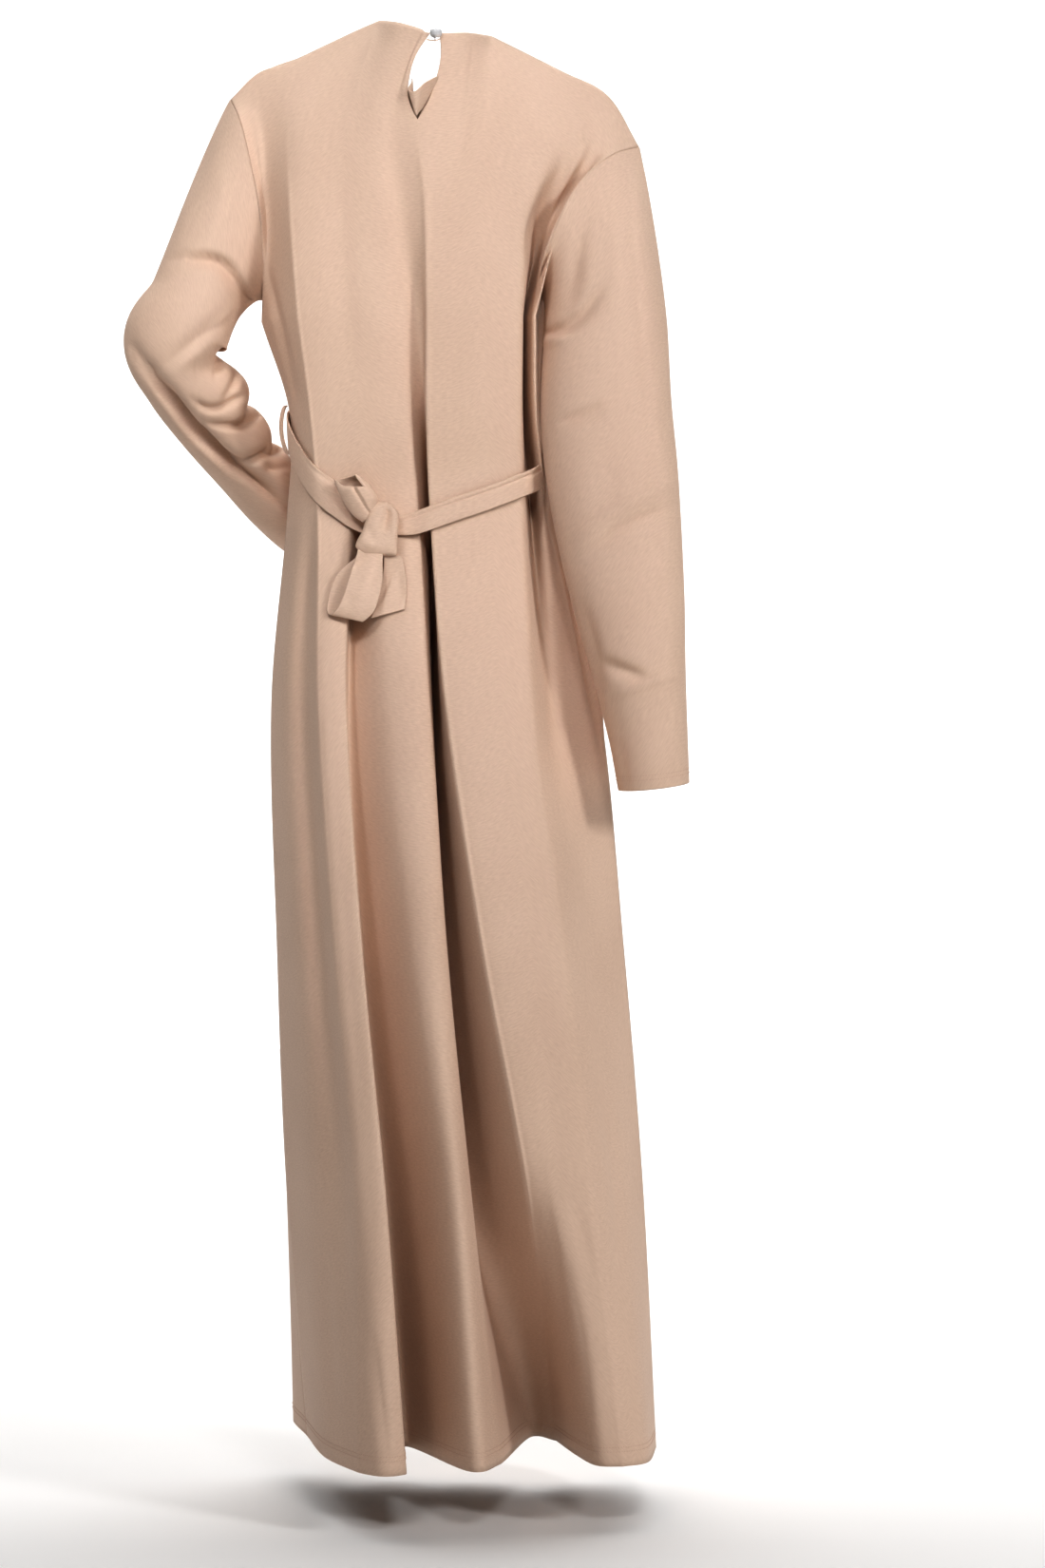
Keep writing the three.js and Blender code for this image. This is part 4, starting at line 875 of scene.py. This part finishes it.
# --- Belt tail ----------------------------------------------------------------------------
# The belt's end below the knot, behind the lower loop, folded along a slanting line.
TAIL_ROWS = [((49, 88.6, -550.1), (35, 88.2, -549.6)), ((50, 88, -568), (30, 88.2, -556)),
             ((56, 90.6, -592), (26, 90.8, -584)), ((62, 96.6, -615), (28, 95.6, -606))]
TAIL_CREASES = [([(40, -575), (46, -592), (56, -610)], 3, 7, 1.8),
                ([(34, -566), (33, -580), (32, -596)], 5, 5, -1.6)]
tail_grid = strip_grid(TAIL_ROWS, steps=60, columns=34, creases=TAIL_CREASES)
tail = cloth_object("tail", [tail_grid], BELT_WALL, crepe)
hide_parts("belt_tail")

# --- Belt carriers --------------------------------------------------------------------------
# A narrow band of the same crepe at each side seam, with the belt passed through it.
# Each is turned by about 30 degrees, so that its face looks to the side and back.
CARRIER_HEIGHT, CARRIER_FOOT, CARRIER_REACH, CARRIER_WIDTH, CARRIER_WALL = 50, 3, 8, 7, 1.4
# Name, node, height of its middle, the fold line it is sewn to, and its side.
CARRIERS = [("left_carrier", "carrier_left", -416, 0, 1),
            ("right_carrier", "carrier_right", -446, len(BACK_FOLDS) - 1, -1)]
for name, node, z, fold, side in CARRIERS:
    share = np.linspace(0, 1, 40)
    shift = np.linspace(-0.5, 0.5, 8) * CARRIER_WIDTH
    seam = fold_points(BACK_FOLDS, np.array([float(fold)]), z + CARRIER_HEIGHT * (0.5 - share))[0]
    off = CARRIER_FOOT + CARRIER_REACH * np.sin(share * math.pi) ** 0.6
    carrier_grid = np.stack([(seam[:, 0] + side * off)[:, None] + side * 0.5 * shift,
                             seam[:, 1:2] - 0.85 * shift,
                             np.broadcast_to(seam[:, 2:], (len(share), len(shift)))], axis=-1)
    carrier = cloth_object(name, [carrier_grid], CARRIER_WALL, crepe)
    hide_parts(node)

# --- Keyhole facing ----------------------------------------------------------------------------
# The bias facing of the keyhole, turned inside at its edges; at the foot it has
# sprung out of the slit as a V with a wavy upper edge.
FACING_TOP = [(21.2, 68, -63), (20.8, 73, -65.5), (21.8, 78, -69.5), (24.2, 81.5, -73.8), (24.6, 84, -76.8),
              (21.6, 86.5, -79.2), (17.4, 88, -79), (11.6, 87.5, -74.2), (6.6, 84, -69.3), (-1, 77, -64),
              (-5.5, 70, -61)]
FACING_FOOT = [(19, 78.6, -95), (18.6, 79.4, -98), (18.2, 80, -99), (17.8, 80.8, -100), (17.2, 81.2, -101),
               (16.6, 81.4, -102), (16, 81.4, -102.6), (15.2, 80.8, -101.4), (13, 78.6, -98),
               (6.8, 72.6, -93.5), (0, 68.4, -88)]
FACING_WALL = 1.0
facing_edges = [path_through(edge, np.linspace(0, 1, 72))[None] for edge in (FACING_TOP, FACING_FOOT)]
facing_grid = mix(*facing_edges, np.linspace(0, 1, 36)[:, None, None])
facing = cloth_object("facing", [facing_grid], FACING_WALL, crepe)
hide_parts("keyhole_facing")

# --- Button --------------------------------------------------------------------------------
# A ball button of cast zinc on a thin shank, cut in flat facets and plated in pale,
# faintly hazed chrome.
metal, tree = new_material("chromed cast zinc")
coords = add_node(tree, "ShaderNodeTexCoord")
haze = add_node(tree, "ShaderNodeTexNoise", {"Vector": coords.outputs["Object"], "Scale": 700.0})
rough = add_node(tree, "ShaderNodeMapRange", {"Value": haze.outputs["Fac"], "To Min": 0.08, "To Max": 0.2})
shell = add_node(tree, "ShaderNodeBsdfPrincipled", {"Base Color": to_linear("#F4F4F6"), "Metallic": 0.35,
                                                    "Roughness": rough.outputs["Result"]})
add_node(tree, "ShaderNodeOutputMaterial", {"Surface": shell.outputs["BSDF"]})
BUTTON_AT, SHANK, SHANK_LENGTH, FACETS = (-3, 55, -14), 1.6, 9, 14
# Height and radius of its rings, from the end of the shank to the crown.
BUTTON_RINGS = [(-SHANK_LENGTH, 0.01), (-SHANK_LENGTH, SHANK), (-5.4, SHANK), (-4.4, 4.2), (-2.6, 5.9),
                (0, 6.4), (2.6, 5.9), (4.4, 4.2), (5.4, 2.3), (5.8, 0.01)]
ring_heights, ring_radii = np.array(BUTTON_RINGS).T
facet_angles = np.linspace(0, 2 * math.pi, FACETS, endpoint=False)
button_grid = np.array(BUTTON_AT) + np.stack([
    ring_radii[:, None] * np.cos(facet_angles), ring_radii[:, None] * np.sin(facet_angles),
    np.broadcast_to(ring_heights[:, None], (len(BUTTON_RINGS), FACETS))], axis=-1)
button = lump_object("ball_button", button_grid, metal)
button.data.polygons.foreach_set("use_smooth", np.zeros(len(button.data.polygons), bool))
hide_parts("button")

# --- Button loop ----------------------------------------------------------------------------
# Covered elastic, 1.4 mm thick, wound with fine thread, from the left of the neck
# slit round the button's shank.
thread, tree = new_material("beige covered elastic")
coords = add_node(tree, "ShaderNodeTexCoord")
winding = add_node(tree, "ShaderNodeTexWave", {"Vector": coords.outputs["Object"], "Scale": 900.0})
tint = add_node(tree, "ShaderNodeMix", {"Factor": winding.outputs["Fac"], "A": to_linear("#C9AC98"),
                                        "B": to_linear("#DDC3B0")}, data_type="RGBA")
wound = add_node(tree, "ShaderNodeBsdfPrincipled", {"Base Color": tint.outputs["Result"], "Roughness": 0.6,
                                                    "Sheen Weight": 0.3})
add_node(tree, "ShaderNodeOutputMaterial", {"Surface": wound.outputs["BSDF"]})
ELASTIC_PATH = [(6.5, 55.8, -21), (2, 56.6, -22), (-3, 56.8, -22), (-8, 56.4, -20), (-10.5, 54.9, -16)]


def cord_grid(path, radius, steps, sides):
    """Rings of a round cord square to a smooth path."""
    line = path_through(path, np.linspace(0, 1, steps))
    ahead = unit(np.gradient(line, axis=0))
    across = unit(np.cross(ahead, [0, 1, 0.3]))
    third = np.cross(ahead, across)
    angle = np.linspace(0, 2 * math.pi, sides, endpoint=False)
    return (line[:, None] + radius * np.cos(angle)[None, :, None] * across[:, None]
            + radius * np.sin(angle)[None, :, None] * third[:, None])


elastic_grid = cord_grid(ELASTIC_PATH, radius=0.7, steps=60, sides=14)
elastic = lump_object("elastic_loop", elastic_grid, thread)
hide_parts("button_loop")

# --- Stitching ------------------------------------------------------------------------------
# Twin-needle stitching in matching polyester thread, 3 mm to a stitch and 4.4 mm
# between its two rows, above the edge of each cuff and of the hem.
CUFF_ROWS, HEM_ROWS = (10.6, 15), (15, 19.4)
sewing, tree = new_material("rose beige polyester thread")
coords = add_node(tree, "ShaderNodeTexCoord")
ply = add_node(tree, "ShaderNodeTexNoise", {"Vector": coords.outputs["Object"], "Scale": 1200.0})
tint = add_node(tree, "ShaderNodeMix", {"Factor": ply.outputs["Fac"], "A": to_linear("#B99480"),
                                        "B": to_linear("#CDAB97")}, data_type="RGBA")
twist = add_node(tree, "ShaderNodeBsdfPrincipled", {"Base Color": tint.outputs["Result"], "Roughness": 0.5,
                                                    "Sheen Weight": 0.2})
add_node(tree, "ShaderNodeOutputMaterial", {"Surface": twist.outputs["BSDF"]})


def rows_at(rows, lengths, at):
    """Rows of three values, known at some lengths along a line, read at others."""
    return np.stack([np.interp(at, lengths, rows[:, k]) for k in range(3)], axis=1)


def stitch_row(line, out, pitch=3.0, length=2.2, width=0.3, rise=0.35, sink=0.2):
    """Stitches along a line on the cloth: each a four-sided spindle that stands out of
    the surface at its middle and dips into it at its ends."""
    lengths = np.concatenate([[0], np.linalg.norm(np.diff(line, axis=0), axis=1).cumsum()])
    starts = np.arange(0.5, lengths[-1] - length, pitch)
    a, b = [rows_at(line, lengths, starts + step) for step in (0, length)]
    normal = unit(rows_at(out, lengths, starts + length / 2))
    side = unit(np.cross(b - a, normal)) * width
    middle = (a + b) / 2 + normal * rise
    corners = np.stack([a - normal * sink, b - normal * sink, middle + side, middle - side,
                        middle + normal * width, middle - normal * width * 2], axis=1)
    faces = np.array([(0, 2, 4), (0, 4, 3), (0, 3, 5), (0, 5, 2), (1, 4, 2), (1, 3, 4), (1, 5, 3),
                      (1, 2, 5)])
    return corners.reshape(-1, 3), (faces[None] + 6 * np.arange(len(a))[:, None, None]).reshape(-1, 3)


def stitch_object(name, rows):
    """One object of many rows of stitches, given as lines and outward directions."""
    points, faces, count = [], [], 0
    for line, out in rows:
        corners, triangles = stitch_row(line, out)
        points.append(corners)
        faces.append(triangles + count)
        count += len(corners)
    mesh = bpy.data.meshes.new(name)
    mesh.from_pydata((np.concatenate(points) / 1000).tolist(), [], np.concatenate(faces).tolist())
    mesh.materials.append(sewing)
    piece = bpy.data.objects.new(name, mesh)
    bpy.context.scene.collection.objects.link(piece)
    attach(piece, "root")
    return piece


def row_above(grid, outside, height, wrap=False):
    """The line a given height above the last row of a grid, on its outer face."""
    steps = np.linalg.norm(np.diff(grid[::-1], axis=0), axis=2).mean(axis=1)
    below = np.concatenate([[0], steps.cumsum()])
    k = int(np.searchsorted(below, height)) - 1
    share = (height - below[k]) / (below[k + 1] - below[k])
    out = outward_normals(grid, outside, wrap)[-1 - k]
    line = mix(grid[-1 - k], grid[-2 - k], share) + out * WALL / 2
    if wrap:
        line, out = np.concatenate([line, line[:1]]), np.concatenate([out, out[:1]])
    return line, out


for name, grid in [("cuff_stitches_left", left_grid), ("cuff_stitches_right", right_grid)]:
    outside = grid - grid.mean(axis=1, keepdims=True)
    stitch_object(name, [row_above(grid, outside, height, True) for height in CUFF_ROWS])
stitch_object("hem_stitches_back",
              [row_above(grid, (0, 1, 0), height) for grid in back_grids for height in HEM_ROWS])
stitch_object("hem_stitches_front", [row_above(front_grid, (0, -1, 0), height) for height in HEM_ROWS])
